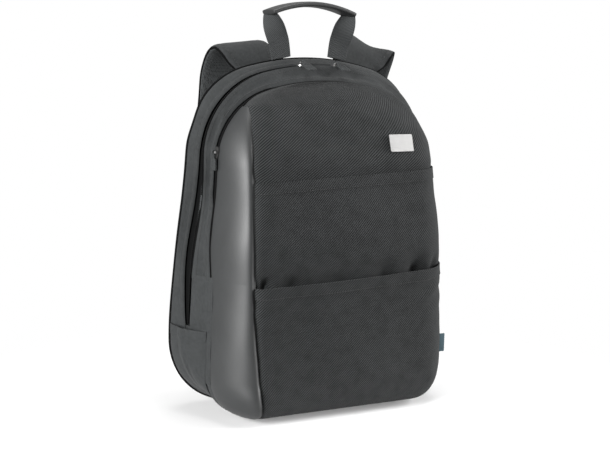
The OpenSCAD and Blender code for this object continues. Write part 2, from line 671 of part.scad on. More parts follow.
// Straps and their seats. The middles of a strap's two sewn ends lie on its swing line.
// They stand off the back far enough for the swing.
STRAP_OFF = 4.5;
WING_T = 6;
STRAP_Y = REAR[1] + back_t + 4 * seam + strap_t / 2 + STRAP_OFF;
STRAP_LOW_Y = REAR[0] + back_t + 4 * seam + WING_T / 2 + 0.5;
function strap_top(side) = [side * strap_top_x, STRAP_Y, strap_top_z];
function strap_low(side) = [side * (body_w / 2 - strap_low_in), STRAP_LOW_Y, strap_low_z];
// Route of a strap: share of the splay, depth behind the upper end, height above it, width, thickness
STRAP_ROUTE = [
    [0.12, 7, 27, 0.84, 0.92], [0.46, 16, 40, 0.96, 1.00], [0.77, 29, 43, 1.00, 1.00],
    [0.93, 41, 33, 1.00, 1.00], [0.99, 51, 13, 1.00, 1.00], [1.00, 55, -14, 1.00, 1.00],
    [1.03, 58, -50, 1.00, 1.00], [1.08, 58, -90, 1.00, 1.00], [1.17, 54, -133, 0.98, 1.00],
    [1.28, 46, -172, 0.92, 0.95], [1.40, 39, -206, 0.82, 0.90], [1.50, 34, -226, 0.68, 0.80]
];
LOW_SPREAD = 22;
function strap_lie(side) = let (a = side < 0 ? tip_left : tip_right) [cos(a), 0, -side * sin(a)];
function route_point(side, splay, r) = [
    side * (strap_top_x + splay * min(r[0], 1) + LOW_SPREAD * max(r[0] - 1, 0) * 2),
    STRAP_Y + r[1], strap_top_z + r[2], strap_w * r[3], strap_t * r[4], strap_lie(side)];
function lift(p, d, s) = [p[0] + d[0] * s, p[1] + d[1] * s, p[2] + d[2] * s];
// The padded part ends in line with the pull of the adjusting webbing
function strap_end(side, splay) = route_point(side, splay, STRAP_ROUTE[len(STRAP_ROUTE) - 1]);
function web_dir(side, splay) = unit(lift(strap_end(side, splay), strap_low(side), -1));
function web_lie(d) = unit([d[2], 0, -d[0]]);
PAD_END = 12;
module shoulder_strap(side, splay) {
    top = strap_top(side);
    d = web_dir(side, splay);
    end = lift(strap_end(side, splay), d, -PAD_END);
    last = strap_w * STRAP_ROUTE[len(STRAP_ROUTE) - 1][3] * 0.8;
    start = [for (s = [0, 10]) [top[0], top[1], top[2] + s, strap_w * 0.62, strap_t * 0.75, 0]];
    finish = [[end[0], end[1], end[2], last, strap_t * 0.7, web_lie(d)]];
    color(CHARCOAL)
        strip(concat(start, [for (r = STRAP_ROUTE) route_point(side, splay, r)], finish), PADDED);
}
module shoulder_strap_left() {
    shoulder_strap(-1, splay_left);
}
module shoulder_strap_right() {
    shoulder_strap(1, splay_right);
}
// Yoke: the strip that both straps are sewn to, with its ends cut at a slant
module strap_yoke() {
    top = strap_top_z - 3 * seam;
    outer = strap_top_x + strap_w / 3;
    y0 = REAR[1] + back_t + 4 * seam;
    depth = strap_t / 2 + STRAP_OFF + 1.5;
    right = [[outer, top], [outer, top - 22], [outer - 22, top - 40]];
    left = [for (p = backwards(right)) [-p[0], p[1]]];
    color(CHARCOAL) translate([0, y0 + depth, 0]) rotate([90, 0, 0])
        linear_extrude(depth) polygon(concat(right, left));
}
// Wing: a stiff cloth triangle sewn to the lower corner of the back
module strap_wing(side, splay) {
    half = web_w / 2 + 3;
    d = web_dir(side, splay);
    tilt = atan2(-side * d[0], d[2]);
    along = [cos(tilt), sin(tilt)];
    top = [body_w / 2 - strap_low_in, strap_low_z] - 3 * seam * [-sin(tilt), cos(tilt)];
    a = top - half * along;
    b = top + half * along;
    color(CHARCOAL) translate([0, REAR[0] + back_t + 4 * seam + WING_T, 0]) rotate([90, 0, 0])
        linear_extrude(WING_T) polygon([for (p = [a, b, b + [0, -8], a + [-4, -16]]) [side * p[0], p[1]]]);
}
module strap_wing_left() {
    strap_wing(-1, splay_left);
}
module strap_wing_right() {
    strap_wing(1, splay_right);
}
// Ladder lock in its own frame: X across, Z up along the strap, Y through it
BAR_R = 1.7;
RAIL = 3.2;
LOCK_IN = web_w / 2 + 0.8;
LOCK_BARS = [0, lock_l / 2 - 2, lock_l - 2 * BAR_R - 1];
module lock_shape() {
    color(BLACK) union() {
        for (side = [-1, 1])
            translate([side * (LOCK_IN + RAIL / 2) - RAIL / 2, -lock_t / 2, -BAR_R]) cube([RAIL, lock_t, lock_l]);
        for (z = LOCK_BARS)
            translate([-LOCK_IN - 0.5, 0, z]) rotate([0, 90, 0]) cylinder(r = BAR_R, h = 2 * LOCK_IN + 1);
        translate([-LOCK_IN - 0.5, BAR_R - 1.2, -6]) cube([2 * LOCK_IN + 1, 1.2, 6]);
    }
}
// Distance of the padded end above the lowest bar
LOCK_DROP = LOCK_BARS[2] + BAR_R + 4;
function lock_base(side, splay) = lift(strap_end(side, splay), web_dir(side, splay), -PAD_END - LOCK_DROP);
function lock_turn(d) = [-asin(d[1]), atan2(d[0], d[2]), 0];
module ladder_lock(side, splay) {
    translate(lock_base(side, splay)) rotate(lock_turn(web_dir(side, splay))) lock_shape();
}
module ladder_lock_left() {
    ladder_lock(-1, splay_left);
}
module ladder_lock_right() {
    ladder_lock(1, splay_right);
}
// Adjusting webbing: from the wing up behind the lowest bar, over the middle bar, and down as a tail.
// Routes in a lock are points [through, up] of its own frame.
function lock_point(side, splay, p) =
    let (d = web_dir(side, splay), out = cross(d, web_lie(d)), q = lift(lock_base(side, splay), d, p[1]))
    [q[0] + out[0] * p[0], q[1] + out[1] * p[0], q[2] + out[2] * p[0]];
module lock_strip(side, splay, route, extra) {
    lie = web_lie(web_dir(side, splay));
    in_lock = [for (p = route) lock_point(side, splay, p)];
    color(BLACK) strip([for (p = concat(extra, in_lock)) [p[0], p[1], p[2], web_w, web_t, lie]], FLAT);
}
WEB_CLEAR = BAR_R + web_t / 2 + 0.3;
TAIL_L = 46;
module strap_webbing(side, splay) {
    c = WEB_CLEAR;
    mid = LOCK_BARS[1];
    over = [for (a = [-90 : 22.5 : 90]) [c * sin(a), mid + c * cos(a)]];
    route = concat([[-c, -16], [-c, -4]], over, [[c, -4], [c + 1, -14], [c + 2.5, -TAIL_L]]);
    lock_strip(side, splay, route, [strap_low(side), lift(strap_low(side), web_dir(side, splay), 6)]);
}
// Short loop that ties the padded end to the highest bar
module lock_loop(side, splay) {
    c = WEB_CLEAR;
    bar = LOCK_BARS[2];
    top = LOCK_DROP - seam;
    under = [for (a = [-90 : -22.5 : -270]) [c * sin(a), bar + c * cos(a)]];
    lock_strip(side, splay, concat([[-c, top]], under, [[c, top]]), []);
}
module lock_loop_left() {
    lock_loop(-1, splay_left);
}
module lock_loop_right() {
    lock_loop(1, splay_right);
}
module strap_webbing_left() {
    strap_webbing(-1, splay_left);
}
module strap_webbing_right() {
    strap_webbing(1, splay_right);
}

back_panel();
back_pad_left();
back_pad_right();
lumbar_pad();
rear_gusset();
base_panel();
side_pocket_left();
side_pocket_right();
zip_end_tabs();
laptop_sleeve();
sleeve_strap();
main_zip_rear_tape();
main_zip_front_tape();
front_gusset();
front_gusset_lower();
divider_panel();
divider_panel_lower();
front_panel();
front_panel_lower();
leather_panel();
leather_panel_lower();
upper_pocket();
lower_pocket();
metal_plate();
side_tab();
front_zip_rear_tape();
front_zip_front_tape();
main_slider_left();
main_slider_right();
main_pull_left();
main_pull_right();
front_slider();
front_pull();
handle_webbing();
handle_grip();
strap_yoke();
shoulder_strap_left();
shoulder_strap_right();
strap_wing_left();
strap_wing_right();
strap_webbing_left();
strap_webbing_right();
ladder_lock_left();
ladder_lock_right();
lock_loop_left();
lock_loop_right();
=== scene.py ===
# %% [markdown]
# # A laptop backpack, dressed
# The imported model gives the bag's frame: every panel, zip half, slider and strap at its true size.
# This lesson dresses that frame. Each soft panel is cut again as a finely meshed cloth, because
# cloth needs seams, hems, stitches and small wrinkles that a plain solid lacks. Hard pieces, such
# as sliders and ladder locks, keep their solid and only get a finish.

# %% Load the frame
import math
from copy import copy

import bpy
import numpy as np
from mathutils import Matrix, Vector, noise


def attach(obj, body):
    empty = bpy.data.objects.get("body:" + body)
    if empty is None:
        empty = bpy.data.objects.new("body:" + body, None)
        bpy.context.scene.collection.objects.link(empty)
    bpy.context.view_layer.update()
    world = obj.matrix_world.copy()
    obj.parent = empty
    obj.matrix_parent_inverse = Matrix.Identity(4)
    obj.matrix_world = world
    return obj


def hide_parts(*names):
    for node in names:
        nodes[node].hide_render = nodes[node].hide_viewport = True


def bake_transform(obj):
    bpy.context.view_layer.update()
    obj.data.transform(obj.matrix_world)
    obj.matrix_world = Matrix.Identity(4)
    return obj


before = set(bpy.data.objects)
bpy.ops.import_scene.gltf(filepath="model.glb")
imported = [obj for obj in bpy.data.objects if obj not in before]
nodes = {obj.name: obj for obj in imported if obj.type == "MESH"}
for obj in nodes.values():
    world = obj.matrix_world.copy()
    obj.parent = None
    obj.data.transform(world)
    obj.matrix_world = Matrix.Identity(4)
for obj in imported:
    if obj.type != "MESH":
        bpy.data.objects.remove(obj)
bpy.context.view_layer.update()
bpy.ops.object.select_all(action="DESELECT")

# %% [markdown]
# ## Camera
# The photograph was taken with a long lens from the front left, a little above the bag. The camera
# is set from a fit of the bag's outline: 29 degrees round, 8 degrees up, 1.5 metres away.

# %% Camera
AROUND, ABOVE, ROLL = math.radians(29.0), math.radians(8.2), math.radians(1.2)
DISTANCE, ACROSS, HEIGHT = 1.500, -0.0223, 0.2066
LENS_PX, IMAGE_W, SENSOR = 1292, 610, 36

right = Vector((math.cos(AROUND), -math.sin(AROUND), 0))
ahead = Vector((math.sin(AROUND) * math.cos(ABOVE), math.cos(AROUND) * math.cos(ABOVE), -math.sin(ABOVE)))
above = right.cross(ahead)
eye = right * ACROSS + Vector((0, 0, HEIGHT)) - ahead * DISTANCE
side_axis = right * math.cos(ROLL) + above * math.sin(ROLL)
up_axis = above * math.cos(ROLL) - right * math.sin(ROLL)
bpy.ops.object.camera_add()
camera = bpy.context.object
camera.name = "camera"
camera.data.sensor_fit = "HORIZONTAL"
camera.data.sensor_width = SENSOR
camera.data.lens = SENSOR * LENS_PX / IMAGE_W
turn = Matrix((side_axis, up_axis, -ahead)).transposed()
camera.matrix_world = Matrix.Translation(eye) @ turn.to_4x4()
bpy.context.scene.camera = camera
bpy.context.scene.view_settings.view_transform = "Standard"
print("camera at", [round(c, 3) for c in eye])


# %% [markdown]
# ## Finishes as expressions
# A finish is a small graph of nodes. Written as node calls it is hard to read, so a socket is
# wrapped in a class whose plus, minus, times and divide add Math nodes. A weave then reads like
# the formula that it is.

# %% Shader maths
class Value:
    """A socket that can be used in Python expressions."""

    def __init__(self, graph, socket):
        self.graph, self.socket = graph, socket

    def math(self, operation, other=0.0, swap=False):
        first, second = (other, self) if swap else (self, other)
        return self.graph.node("ShaderNodeMath", {"operation": operation}, {0: first, 1: second})["Value"]

    def __add__(self, other):
        return self.math("ADD", other)

    def __radd__(self, other):
        return self.math("ADD", other, True)

    def __sub__(self, other):
        return self.math("SUBTRACT", other)

    def __rsub__(self, other):
        return self.math("SUBTRACT", other, True)

    def __mul__(self, other):
        return self.math("MULTIPLY", other)

    def __rmul__(self, other):
        return self.math("MULTIPLY", other, True)

    def __truediv__(self, other):
        return self.math("DIVIDE", other)

    def __rtruediv__(self, other):
        return self.math("DIVIDE", other, True)

    def __pow__(self, other):
        return self.math("POWER", other)


class Made:
    """A node just made; its outputs are picked by name or number."""

    def __init__(self, graph, node):
        self.graph, self.node = graph, node

    def __getitem__(self, key):
        return Value(self.graph, self.node.outputs[key])


class Graph:
    """A node tree, with one method that adds any node to it."""

    def __init__(self, tree):
        self.tree = tree

    def node(self, kind, settings=None, sockets=None):
        made = self.tree.nodes.new(kind)
        for key, setting in (settings or {}).items():
            if key == "stops":
                for i, (place, tone) in enumerate(setting):
                    stop = made.color_ramp.elements[i] if i < 2 else made.color_ramp.elements.new(place)
                    stop.position, stop.color = place, (tone, tone, tone, 1)
            else:
                setattr(made, key, setting)
        for key, value in (sockets or {}).items():
            self.feed(made.inputs[key], value)
        return Made(self, made)

    def feed(self, socket, value):
        if isinstance(value, Value):
            self.tree.links.new(value.socket, socket)
        else:
            socket.default_value = value


class Finish(Graph):
    """A material with its shader, and the patterns that the finishes share."""

    def __init__(self, name):
        self.material = bpy.data.materials.new(name)
        self.material.use_nodes = True
        super().__init__(self.material.node_tree)
        self.shader = next(n for n in self.tree.nodes if n.type == "BSDF_PRINCIPLED")

    def shade(self, **sockets):
        for key, value in sockets.items():
            self.feed(self.shader.inputs[key.replace("_", " ")], value)
        return self.material

    def place(self, kind="UV"):
        return self.node("ShaderNodeTexCoord")[kind]

    def split(self, vector):
        parts = self.node("ShaderNodeSeparateXYZ", {}, {0: vector})
        return parts["X"], parts["Y"]

    def wave(self, turns):
        """Swings between 0 and 1, once in each turn."""
        return (turns * math.tau).math("SINE") * 0.5 + 0.5

    def ramp(self, value, *stops):
        return self.node("ShaderNodeValToRGB", {"stops": stops}, {0: value})["Color"]

    def grain(self, where, scale, detail=2.0, rough=0.5):
        return self.node("ShaderNodeTexNoise", {}, {"Vector": where, "Scale": scale, "Detail": detail,
                                                    "Roughness": rough})["Fac"]

    def blend(self, share, low, high):
        return self.node("ShaderNodeMix", {"data_type": "RGBA"}, {0: share, 6: low, 7: high})[2]

    def relief(self, height, strength, depth):
        return self.node("ShaderNodeBump", {}, {"Height": height, "Strength": strength,
                                                "Distance": depth})["Normal"]


def grey(tone, warm=0.0):
    return (tone * (1 + warm), tone, tone * (1 - warm), 1)


def slate(tone):
    return (tone * 0.94, tone, tone * 1.02, 1)


# %% [markdown]
# ## The cloths
# The front is a coarse twill: thick yarns that run in ridges, up to the right, each ridge broken
# into short floats. The gussets are a finer, plainer cloth. Both are a cool charcoal; the ridges are
# painted lighter and the hollows darker, a painted highlight and shade on the weave, so colour and
# relief come from one height formula.

# %% Twill and plain cloth
def woven(name, tone, pitch, ridge, float_share, bump, roughness=0.78):
    f = Finish(name)
    uv = f.place()
    u, v = f.split(uv)
    slub, drift, patch = f.grain(uv, 260.0, 3.0, 0.6), f.grain(uv, 14.0), f.grain(uv, 70.0)
    uneven = slub - 0.5
    ridges = f.wave((u - v) / pitch + uneven * 0.25) * (0.35 + patch * 1.2)
    floats = f.wave((u + v) / (pitch * 0.6) + uneven * 0.5)
    height = ridges * (0.8 + floats * 0.2) * ridge + floats * float_share + slub * (1 - ridge - float_share)
    # The colour follows the ridge height: painted highlight on the ridges and painted shade in the hollows, over the
    # yarn's own tone and its random drift.
    colour = f.blend(height * 1.4 + drift * 0.3 - 0.17, slate(tone * 0.1), slate(tone * 2.4))
    return f.shade(Base_Color=colour, Roughness=roughness + (height - 0.5) * -0.12,
                   Specular_IOR_Level=0.11, Sheen_Weight=0.05, Sheen_Roughness=0.5,
                   Normal=f.relief(height, bump, 0.0006))


twill = woven("twill", 0.0150, 0.0031, 0.88, 0.03, 1.0)
plain_cloth = woven("plain_cloth", 0.0188, 0.0019, 0.40, 0.20, 0.4)
lining_cloth = woven("lining_cloth", 0.030, 0.0012, 0.2, 0.3, 0.25, 0.8)
print("cloths:", twill.name, plain_cloth.name, lining_cloth.name)


# %% [markdown]
# ## Leather, webbing, mesh, tape and thread
# The leather-like panel is coated cloth: a tight grain of small cells, a satin coat and faint
# rubbing where hands touch it. Webbing shows slanting ribs, the pads are an open air mesh, and zip
# tape is a fine herringbone, darker than any black cloth: its own black with painted shade over it,
# so the open zip reads as a dark gap.

# %% Other soft finishes
def coated_leather(name, low, high):
    f = Finish(name)
    where = f.place("Object")
    cells = f.node("ShaderNodeTexVoronoi", {"feature": "DISTANCE_TO_EDGE"},
                   {"Vector": where, "Scale": 620.0})["Distance"]
    pores = f.ramp(cells, (0.0, 0.0), (0.28, 1.0))
    soft, rubbed = f.grain(where, 26.0, 3.0, 0.55), f.grain(where, 190.0, 4.0, 0.6)
    colour = f.blend(soft * 0.7 + rubbed * 0.3, slate(low), slate(high))
    height = f.grain(where, 900.0, 3.0) * 0.35 + pores * 0.5 + rubbed * 0.15
    return f.shade(Base_Color=colour, Roughness=0.44 + soft * 0.12, Coat_Weight=0.03 + rubbed * 0.04,
                   Coat_Roughness=0.42, Specular_IOR_Level=0.44, Normal=f.relief(height, 0.14, 0.0004))


def ribbed_webbing():
    f = Finish("ribbed_webbing")
    uv = f.place()
    u, v = f.split(uv)
    slub = f.grain(uv, 700.0)
    ribs, cross = f.wave((u * 1.6 + v) / 0.0034 + slub * 0.3), f.wave(v / 0.0011)
    height = ribs * 0.62 + cross * 0.22 + slub * 0.16
    return f.shade(Base_Color=f.blend(height, slate(0.012), slate(0.060)), Roughness=0.7 - height * 0.1,
                   Specular_IOR_Level=0.16, Normal=f.relief(height, 0.7, 0.0007))


def air_mesh():
    f = Finish("air_mesh")
    where = f.place("Object")
    cells = f.node("ShaderNodeTexVoronoi", {}, {"Vector": where, "Scale": 560.0, "Randomness": 0.35})["Distance"]
    strands = f.ramp(cells, (0.18, 0.0), (0.5, 1.0))
    drift = f.grain(where, 30.0)
    colour = f.blend(strands * 0.75 + drift * 0.2, slate(0.010), slate(0.052))
    return f.shade(Base_Color=colour, Roughness=0.8 - drift * 0.1, Specular_IOR_Level=0.14,
                   Normal=f.relief(strands, 0.6, 0.0008))


def zip_tape():
    f = Finish("zip_tape")
    u, v = f.split(f.place())
    herring = f.wave(u / 0.0014 + f.wave(v / 0.005) * 0.8 - 0.4)
    # The tape's colour is its own black deepened with painted shade, so the zip gap shows dark.
    return f.shade(Base_Color=f.blend(herring, slate(0.0012), slate(0.006)), Roughness=0.8 - herring * 0.1,
                   Specular_IOR_Level=0.04, Normal=f.relief(herring, 0.4, 0.0003))


def thread():
    f = Finish("thread")
    twist = f.grain(f.place("Object"), 1500.0)
    return f.shade(Base_Color=f.blend(twist, grey(0.02), grey(0.07)), Roughness=0.6 + twist * 0.2,
                   Specular_IOR_Level=0.2, Normal=f.relief(twist, 0.4, 0.0002))


leather = coated_leather("coated_leather", 0.014, 0.026)
grip_leather = coated_leather("grip_leather", 0.008, 0.016)
webbing, mesh_cloth = ribbed_webbing(), air_mesh()
tape_cloth, stitch_thread = zip_tape(), thread()
print("soft finishes:", leather.name, webbing.name, mesh_cloth.name, tape_cloth.name)


# %% [markdown]
# ## Metal, plastic and the small tab
# The main sliders and the plate are satin metal, brushed in one direction, and the front slider is
# enamelled. Ladder locks and zip teeth are moulded black plastic with a fine spark-eroded skin; the
# teeth are a far darker, duller copy, their own black with painted shade so the zip gap reads dark.
# The folded tab is a tight dark teal weave.

# %% Hard finishes
def satin_metal():
    f = Finish("satin_metal")
    where = f.place("Object")
    brushed = f.node("ShaderNodeMapping", {}, {"Vector": where, "Scale": (60.0, 900.0, 900.0)})["Vector"]
    strokes, wear = f.grain(brushed, 1.6, 4.0, 0.6), f.grain(where, 90.0, 3.0)
    colour = f.blend(wear * 0.6 + strokes * 0.4, grey(0.50, 0.01), grey(0.70, 0.01))
    return f.shade(Base_Color=colour, Metallic=1.0, Roughness=0.24 + strokes * 0.16,
                   Normal=f.relief(strokes, 0.06, 0.0002))


def moulded_plastic(name, low, high, shine):
    f = Finish(name)
    where = f.place("Object")
    skin, handled = f.grain(where, 2600.0, 3.0), f.grain(where, 120.0, 3.0)
    return f.shade(Base_Color=f.blend(handled, grey(low), grey(high)), Roughness=0.42 + handled * 0.16,
                   Specular_IOR_Level=shine, Normal=f.relief(skin, 0.22, 0.0002))


def tab_weave():
    f = Finish("tab_weave")
    u, v = f.split(f.place())
    threads = f.wave(u / 0.0007) * 0.5 + f.wave(v / 0.0007) * 0.5
    return f.shade(Base_Color=f.blend(threads, (0.010, 0.032, 0.045, 1), (0.030, 0.085, 0.11, 1)),
                   Roughness=0.7 - threads * 0.1, Normal=f.relief(threads, 0.4, 0.0002))


def dark_enamel():
    f = Finish("dark_enamel")
    rubbed = f.grain(f.place("Object"), 420.0, 3.0)
    return f.shade(Base_Color=f.blend(rubbed, grey(0.012), grey(0.045)), Roughness=0.34 + rubbed * 0.2,
                   Metallic=0.35, Normal=f.relief(rubbed, 0.1, 0.0002))


def coat(obj, finish):
    obj.data.materials.clear()
    obj.data.materials.append(finish)


metal, enamel, tab_cloth = satin_metal(), dark_enamel(), tab_weave()
plastic = moulded_plastic("moulded_plastic", 0.014, 0.030, 0.5)
# The teeth's plastic is near black and dull: their own black deepened with painted shade for the zip gap.
tooth_black_and_painted_shade = moulded_plastic("tooth_black_and_painted_shade", 0.002, 0.006, 0.08)
for finish, names in ((metal, ("main_slider_left", "main_slider_right", "metal_plate")),
                      (enamel, ("front_slider",)), (plastic, ("ladder_lock_left", "ladder_lock_right"))):
    for name in names:
        coat(nodes[name], finish)
print("hard finishes:", metal.name, enamel.name, plastic.name, tab_cloth.name)

# %% [markdown]
# ## The floor, the room and the lamps
# A plain pale floor takes the bag's soft shadow and fades into the room. The room shows white to the
# camera, half as bright to reflections, and hardly lights the bag. The light comes from three soft
# lamps: the large one at the left gives the broad shine on the leather panel.

# %% Floor, room and lamps
FADE_FROM, FADE_TO, FLOOR_SHOWS = 0.14, 0.46, 0.8
MIRRORED, FILL = 0.5, 0.10
AIM = Vector((0, 0, 0.2))

floor_finish = Finish("floor")
ground = floor_finish.place("Object")
speck = floor_finish.grain(ground, 40.0)
east, north = floor_finish.split(ground)
away = (east * east + north * north) ** 0.5
fade = floor_finish.node("ShaderNodeMapRange", {}, {"Value": away, "From Min": FADE_FROM, "From Max": FADE_TO,
                                                    "To Min": FLOOR_SHOWS, "To Max": 0.0})["Result"]
floor_finish.shade(Base_Color=floor_finish.blend(speck, grey(0.90), grey(0.93)), Alpha=fade, Roughness=0.9,
                   Specular_IOR_Level=0.05)
bpy.ops.mesh.primitive_plane_add(size=14, location=(0, 0, -0.0006))
floor = bpy.context.object
floor.name = "floor"
floor.data.materials.append(floor_finish.material)

room = bpy.data.worlds.new("room")
bpy.context.scene.world = room
room.use_nodes = True
walls = Graph(room.node_tree)
backdrop = next(n for n in walls.tree.nodes if n.type == "BACKGROUND")
backdrop.inputs["Color"].default_value = (1, 1, 1, 1)
rays = walls.node("ShaderNodeLightPath")
seen = rays["Is Camera Ray"].math("MAXIMUM", rays["Is Glossy Ray"] * MIRRORED)
walls.feed(backdrop.inputs["Strength"], seen * (1 - FILL) + FILL)


def soft_lamp(name, place, size, power):
    bpy.ops.object.light_add(type="AREA", location=place)
    lamp = bpy.context.object
    lamp.name = name
    lamp.data.shape = "RECTANGLE"
    lamp.data.size, lamp.data.size_y = size
    lamp.data.energy = power
    lamp.rotation_euler = (AIM - Vector(place)).to_track_quat("-Z", "Y").to_euler()


soft_lamp("key_lamp", (-2.2, -0.75, 0.7), (1.2, 1.5), 136)
soft_lamp("top_lamp", (0.2, 0.1, 2.2), (1.6, 1.2), 30)
soft_lamp("edge_lamp", (2.0, -0.7, 0.7), (0.9, 1.5), 84)

# %% [markdown]
# ## The bag's outline, in numbers
# The bag is a stack of outlines, one behind the other: the back edge, the main zip and the front
# zip. Each has rounded lower corners, sides that draw in, shoulder arcs and a shallow crown arc,
# and leans as it rises. These are the same sizes that the solids were built with, in millimetres,
# with a few millimetres added where the filled bag stands out.

# %% Outlines
MM = 0.001
WIDTH, TALL = 328.0, 403.0
ZIP_HALF, DRAW_IN = 5.5, 12.0
FOLD, MOUTH = 160.0, 274.0
LEAN_FROM, LEAN_OVER = 90, 160


def smooth(t):
    t = np.clip(t, 0, 1)
    return t * t * (3 - 2 * t)


def unit(vectors):
    return vectors / np.maximum(np.linalg.norm(vectors, axis=-1, keepdims=True), 1e-9)


def run_of(line):
    """The length along a line of points, from its first point to each of them."""
    return np.concatenate([[0], np.cumsum(np.linalg.norm(np.diff(line, axis=0), axis=1))])


def sample(rows, run, at):
    return np.stack([np.interp(at, run, rows[:, k]) for k in range(rows.shape[1])], -1)


class Outline:
    """The bag's outline at one depth."""

    def __init__(self, y, lean, inset, drop, crown_r, arm_r, corner, *swells):
        self.y, self.lean, self.corner, self.swells = y, lean, corner, swells
        self.base, self.shoulder = WIDTH / 2 - inset, WIDTH / 2 - inset - DRAW_IN
        self.crown, self.crown_r, self.arm_r = TALL - drop, crown_r, arm_r
        self.arm_x, self.crown_z = self.shoulder - arm_r, self.crown - crown_r
        self.spring = self.crown_z + math.sqrt((crown_r - arm_r) ** 2 - self.arm_x ** 2)
        self.turn = math.atan2(self.spring - self.crown_z, self.arm_x)

    def shifted(self, dy):
        other = copy(self)
        other.y += dy
        return other

    def depth(self, z):
        return self.y + self.lean * smooth((np.asarray(z, float) - LEAN_FROM) / LEAN_OVER)

    def side(self, z):
        return self.base - DRAW_IN * smooth((z - self.corner) / (self.spring - self.corner))

    def fullness(self, z):
        """How far the filled bag stands out beyond its pattern at one height."""
        return sum(amount * np.exp(-((z - place) / width) ** 2) for amount, place, width in self.swells)

    def half(self, z, t=0.0):
        """Half the width at height z, set in by t."""
        z = np.asarray(z, float)

        def arc(middle_x, middle_z, radius):
            return middle_x + np.sqrt(np.maximum((radius - t) ** 2 - (z - middle_z) ** 2, 0))

        knee = self.spring + (self.arm_r - t) * math.sin(self.turn)
        high = np.where(z < knee, arc(self.arm_x, self.spring, self.arm_r), arc(0, self.crown_z, self.crown_r))
        high = np.where(z < self.spring, self.side(z) - t, high)
        low = arc(self.base - self.corner, self.corner, self.corner)
        return np.where(z < self.corner, low, high) + self.fullness(z)

    def over(self, count, low, t=0.0):
        """Points evenly spaced from the right side at height low, over the top, to the left side."""
        z = np.linspace(low, self.spring, 160)[:-1]
        a = np.linspace(0, self.turn, 120)[:-1]
        b = np.linspace(self.turn, math.pi / 2, 60)
        arm_z = self.spring + (self.arm_r - t) * np.sin(a)
        arm_x = self.arm_x + (self.arm_r - t) * np.cos(a) + self.fullness(arm_z)
        x = np.concatenate([self.half(z, t), arm_x, (self.crown_r - t) * np.cos(b)])
        z = np.concatenate([z, arm_z, self.crown_z + (self.crown_r - t) * np.sin(b)])
        return self.even(np.concatenate([x, -x[-2::-1]]), np.concatenate([z, z[-2::-1]]), count)

    def under(self, count, high, t=0.0):
        """Points evenly spaced from the left side at height high, round the base, to the right."""
        r = self.corner
        a = np.linspace(math.asin((high - r) / (r - t)), -math.pi / 2, 120)
        x = self.base - r + (r - t) * np.cos(a)
        z = r + (r - t) * np.sin(a)
        return self.even(np.concatenate([-x, x[::-1]]), np.concatenate([z, z[::-1]]), count)

    def even(self, x, z, count):
        line = np.stack([x, z], -1)
        run = run_of(line)
        x, z = sample(line, run, np.linspace(0, run[-1], count)).T
        return np.stack([x, self.depth(z), z], -1)


BACK = Outline(66, -18, 0, 0, 320, 93, 80.0, (4.0, 215, 62), (-3.5, 332, 22))
MAIN = Outline(35, -8, 8, 7, 290, 98, 80.0, (4.0, 185, 50))
FRONT = Outline(-4, 10, 16, 24, 270, 86, 50.0, (4.2, 200, 40))
print("outline springs at", round(BACK.spring), round(MAIN.spring), round(FRONT.spring), "mm")

# %% [markdown]
# ## The front face, in numbers
# The front bulges forward from the front zip and rolls over at its edges. Its depth at a point
# depends on how far that point is from the outline, so one formula gives the leather, both
# pockets and the panel above them, and they meet without a step.

# %% Front face
ROLL_W, BASE_ROLL, ROLL_POWER = 48.0, 22.0, 2.2
FACE_Y, FACE_FALL, FALL_FROM = 62.0, 46, 190
SEAM_X, SEAM_BOW, SEAM_MIDDLE, SEAM_REACH = 116.5, 12.0, 0.46 * TALL, 0.43 * TALL


def rim(z):
    return FRONT.depth(z) - ZIP_HALF


def face_middle(z):
    return -FACE_Y + FACE_FALL * np.clip((z - FALL_FROM) / (FRONT.crown - FALL_FROM), 0, 1) ** 2


def edge_gap(x, z):
    """How far a point of the face lies in from the outline, counted faster above the base."""
    ax = np.abs(x)
    corner_r, arm_x = FRONT.corner, FRONT.arm_x
    base_x = FRONT.base - corner_r
    k = ROLL_W / BASE_ROLL
    arm = FRONT.arm_r - np.hypot(ax - arm_x, z - FRONT.spring)
    top = FRONT.crown_r - np.hypot(ax, z - FRONT.crown_z)
    in_arm = (ax > arm_x) & (np.arctan2(z - FRONT.spring, ax - arm_x) < FRONT.turn)
    reach = np.maximum(np.hypot(ax - base_x, corner_r - z), 0.01)
    corner = (corner_r - reach) * (1 + (k - 1) * ((corner_r - z) / reach) ** 2)
    low = np.where(ax > base_x, corner, z * k)
    mid = np.minimum(FRONT.side(z) + FRONT.fullness(z) - ax, z * k)
    return np.where(z >= FRONT.spring, np.where(in_arm, arm, top), np.where(z >= corner_r, mid, low))


def face(x, z, t=0.0):
    q = np.clip((edge_gap(x, z) - t) / ROLL_W, 0, 1)
    return rim(z) - (rim(z) - face_middle(z) - t) * np.sqrt(1 - (1 - q) ** ROLL_POWER)


def seam_x(z):
    """The curved seam between leather and twill, left of the middle."""
    return SEAM_BOW * ((z - SEAM_MIDDLE) / SEAM_REACH) ** 2 - SEAM_X


def seam_meets(inside, outside):
    """The height where that seam runs into the outline, found by halving."""
    for _ in range(40):
        z = (inside + outside) / 2
        inside, outside = (z, outside) if FRONT.half(z) > 1 - seam_x(z) else (inside, z)
    return z


LEATHER_TOP, LEATHER_LOW = seam_meets(FOLD, FRONT.crown), seam_meets(FOLD, 0.0)
print("leather from", round(LEATHER_LOW, 1), "to", round(LEATHER_TOP, 1), "mm")


# %% [markdown]
# ## Cutting cloth
# A panel starts as a flat grid, as a cutter lays cloth on a table. Its points are then moved to
# the bag's surface, a Solidify modifier gives the cloth its thickness, and the grid's own UV map,
# stretched to the panel's real size, keeps the weave in scale. Wrinkles are a smooth noise along
# the normal, small and always the same. Last, the solid that each piece stands for is hidden, and
# the piece is hung on the body that carries it; a piece across a fold is left fixed where it lies.

